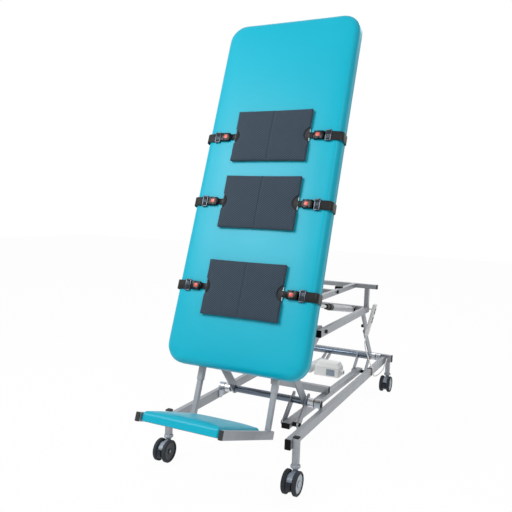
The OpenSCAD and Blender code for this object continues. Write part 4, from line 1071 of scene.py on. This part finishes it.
def frame_ring():
    """The pale frame round the button, from four bars."""
    (x0, x1), z, w = WELL_X, WELL_Z, FRAME_W
    bars = ((x0 - w, -z - w, x0, z + w), (x1, -z - w, x1 + w, z + w),
            (x0 - 0.2, -z - w, x1 + 0.2, -z), (x0 - 0.2, z, x1 + 0.2, z + w))
    return gather(*[rounded_block((a, TOP - FRAME_RISE, b), (c, TOP + 2, d), 0.5, 2)
                    for a, b, c, d in bars])


def slider_frame():
    half, x1 = SLIDER_W / 2, SLIDER_X + SLIDER_L
    top, bottom = FACE - SLIDER_T, FACE - 2
    bars = [rounded_block((x, top + 2, -half), (x + SLIDER_BAR, bottom, half), 2)
            for x in (SLIDER_X, x1 - SLIDER_BAR)]
    rails = [rounded_block((SLIDER_X + 1, top + 1.5, z0), (x1 - 1, bottom, z1), 2)
             for z0, z1 in ((-half, -half + SLIDER_RAIL), (half - SLIDER_RAIL, half))]
    ribs = [rod((x, top + 2.4, -half + 4), (x, top + 2.4, half - 4), 2.2)
            for x in (SLIDER_X + SLIDER_L * share for share in (0.32, 0.5, 0.68))]
    return gather(*bars, *rails, *ribs)


def slider_webbing():
    """The band from the buckle, up over the slider's middle bar and on to the board's edge."""
    x0, mid, x1 = SLIDER_X, SLIDER_X + SLIDER_L / 2, SLIDER_X + SLIDER_L
    top = FACE - SLIDER_T
    return [(BUCKLE_X + BUCKLE_L - 2, FACE - 5.5), (x0, FACE - 5), (x0 + 6, FACE - 4.5),
            (x0 + 9, FACE - 6), (mid - 4.5, top + 5.5), (mid, top + 5.8), (mid + 4.5, top + 5.5),
            (x1 - 9, FACE - 6), (x1 - 6, FACE - 4.8), (x1, FACE - 5)]


def bar_place(side):
    return PAD_W / 2 + side * PAD_SHIFT - 4, TONGUE_DEPTH


def tongue_and_bar(side):
    """The chrome bar in the notch, and the tongue from it into the buckle."""
    bar_x, depth = bar_place(side)
    bar = rod((bar_x, depth, -BAR_HALF_L), (bar_x, depth, BAR_HALF_L), BAR_R)
    plate = gather(*[rounded_block((x0, depth - 1.4, -half), (x1, depth + 1.4, half), 0.8, 2)
                     for x0, x1, half in ((bar_x + 3, bar_x + 9, 15), (bar_x + 7, BUCKLE_X - 3, 11))])
    return bar, plate


def pad_tab(side):
    """The black webbing loop from the buckle round the bar."""
    bar_x, depth = bar_place(side)
    loop = arc(bar_x, depth, LOOP_R, range(-90, -271, -30))
    return [(BUCKLE_X - 2, depth - 1.8), (bar_x + 6, depth - 3.6), *loop,
            (bar_x + 6, depth + 3.6), (BUCKLE_X - 2, depth + 1.8)]


def button_block():
    return rounded_block((BUTTON_X - BUTTON_L / 2, TOP - BUTTON_RISE, -BUTTON_W / 2),
                         (BUTTON_X + BUTTON_L / 2, TOP + BUTTON_FOOT, BUTTON_W / 2), 1.4)


def add_part(name, part, height, side, material, slot, replaces=None, body="board"):
    piece = make_piece(name, *placed(part, side, height), material)
    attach(piece, body)
    if replaces:
        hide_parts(replaces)


for tag, *at in STRAP_ENDS:
    add_part("buckle" + tag, buckle_shell(), *at, buckle_black, "black_plastic", "strap_buckles")
    add_part("buckle_frame" + tag, frame_ring(), *at, button_frame, "black_plastic")
    add_part("slider" + tag, slider_frame(), *at, dull_steel, "black_plastic")
    add_webbing("slider_webbing" + tag, slider_webbing(), *at, FOLDED_W)
    bar, plate = tongue_and_bar(at[1])
    add_part("pad_bar" + tag, bar, *at, bright_steel, "shaft_chrome", "strap_rings")
    add_part("tongue" + tag, plate, *at, ring_steel, "shaft_chrome")
    add_webbing("pad_tab" + tag, pad_tab(at[1]), *at, TAB_W)
    add_part("button" + tag, button_block(), *at, button_red, "button_plastic",
             "buckle_button" + tag, "button" + tag)

# %% [markdown]
# ## The footrest cushion
#
# The patient stands on a firm cushion that drops between two steel rails. Its top swells well above
# them, and its edges roll down to the rails.

# %% Footrest cushion
FOOT_W, FOOT_FRONT, FOOT_BACK = 390, -368, 57.5
FOOT_BASE, FOOT_T, SIDE_SHARE = -273.7, 44, 0.9

lie_down = Matrix(((1, 0, 0, 0), (0, 0, 1, 0), (0, -1, 0, 0), (0, 0, 0, 1)))
foot_middle = Matrix.Translation((0, (FOOT_FRONT + FOOT_BACK) / 2 * MM, FOOT_BASE * MM))
foot_cushion = make_cushion("footrest_cushion", FOOT_W, FOOT_BACK - FOOT_FRONT, vinyl,
                            board_ruler @ foot_middle @ lie_down, corner=16, edge_round=15, back=0,
                            front=-FOOT_T * SIDE_SHARE, crown=12, draw=3, counts=(20, 20))
puff(foot_cushion, 0, pressure=4, cap_mm=3, slack=0.01)
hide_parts("footrest_pad")
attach(foot_cushion, "footrest")

# %% [markdown]
# ## Floor, light and backdrop
#
# A product photograph on white is lit by big soft boxes in a white room. The floor is pale and keeps
# the shadow. Camera rays see it almost white, which costs the object no extra light. A large lamp
# up on the left gives the soft sheen on the vinyl, and a narrow one on the right draws its edge. A
# third one above and behind lights the tops of the tubes.

# %% Stage
FLOOR_HALF, FLOOR_GLOW, ROOM_LIGHT = 15, 0.97, 0.4
SOFTBOXES = {  # Place, what it points at, size and power
    "softbox_left": ((-1.9, -3.3, 3.6), board_ruler @ Vector((0, 0, BOARD_L / 2 * MM)), (1.8, 1.8), 112),
    "strip_right": ((2.3, -2.8, 3.4), (0.3, -0.3, 1.2), (0.45, 2.2), 26),
    "top_back": ((0.4, 2.6, 3.6), (0, 0.3, 0.4), (2.4, 1.2), 42),
}
floor_mesh = bpy.data.meshes.new("floor")
outline = [(x * FLOOR_HALF, y * FLOOR_HALF, 0) for x, y in ((-1, -1), (1, -1), (1, 1), (-1, 1))]
floor_mesh.from_pydata(outline, [], [[0, 1, 2, 3]])
floor = show("floor", floor_mesh)


def seen_directly(tree):
    """1 for rays from the camera, mirrors and glass, and 0 for the light on the object."""
    rays = [add(tree, "LightPath", out="Is %s Ray" % kind)
            for kind in ("Camera", "Glossy", "Transmission")]
    return reckon(tree, "MAXIMUM", reckon(tree, "MAXIMUM", rays[0], rays[1]), rays[2])


tree, done = new_finish("pale_floor")
floor_mesh.materials.append(done(Base_Color="#F4F4F4", Roughness=0.9))
glow = add(tree, "Emission", Color=(1, 1, 1, 1), Strength=1.0)
share = reckon(tree, "MULTIPLY", seen_directly(tree), FLOOR_GLOW)
mixed = add(tree, "MixShader", share, tree.nodes["Principled BSDF"].outputs[0], glow)
fill(tree, tree.nodes["Material Output"], Surface=mixed)

world = bpy.data.worlds.new("white_room")
bpy.context.scene.world = world
world.use_nodes = True
room = world.node_tree
fill(room, room.nodes["Background"], Color=(1, 1, 1, 1),
     Strength=spread(room, seen_directly(room), ROOM_LIGHT, 1.0))


def add_softbox(name, place, target, size, power):
    data = bpy.data.lights.new(name, "AREA")
    data.shape = "RECTANGLE"
    data.size, data.size_y, data.energy = size[0], size[1], power
    lamp = show(name, data)
    lamp.location = place
    lamp.rotation_euler = (Vector(target) - Vector(place)).to_track_quat("-Z", "Y").to_euler()


for name, lamp in SOFTBOXES.items():
    add_softbox(name, *lamp)
bpy.context.scene.view_settings.view_transform = "Standard"
print("lamps placed:", len(SOFTBOXES))
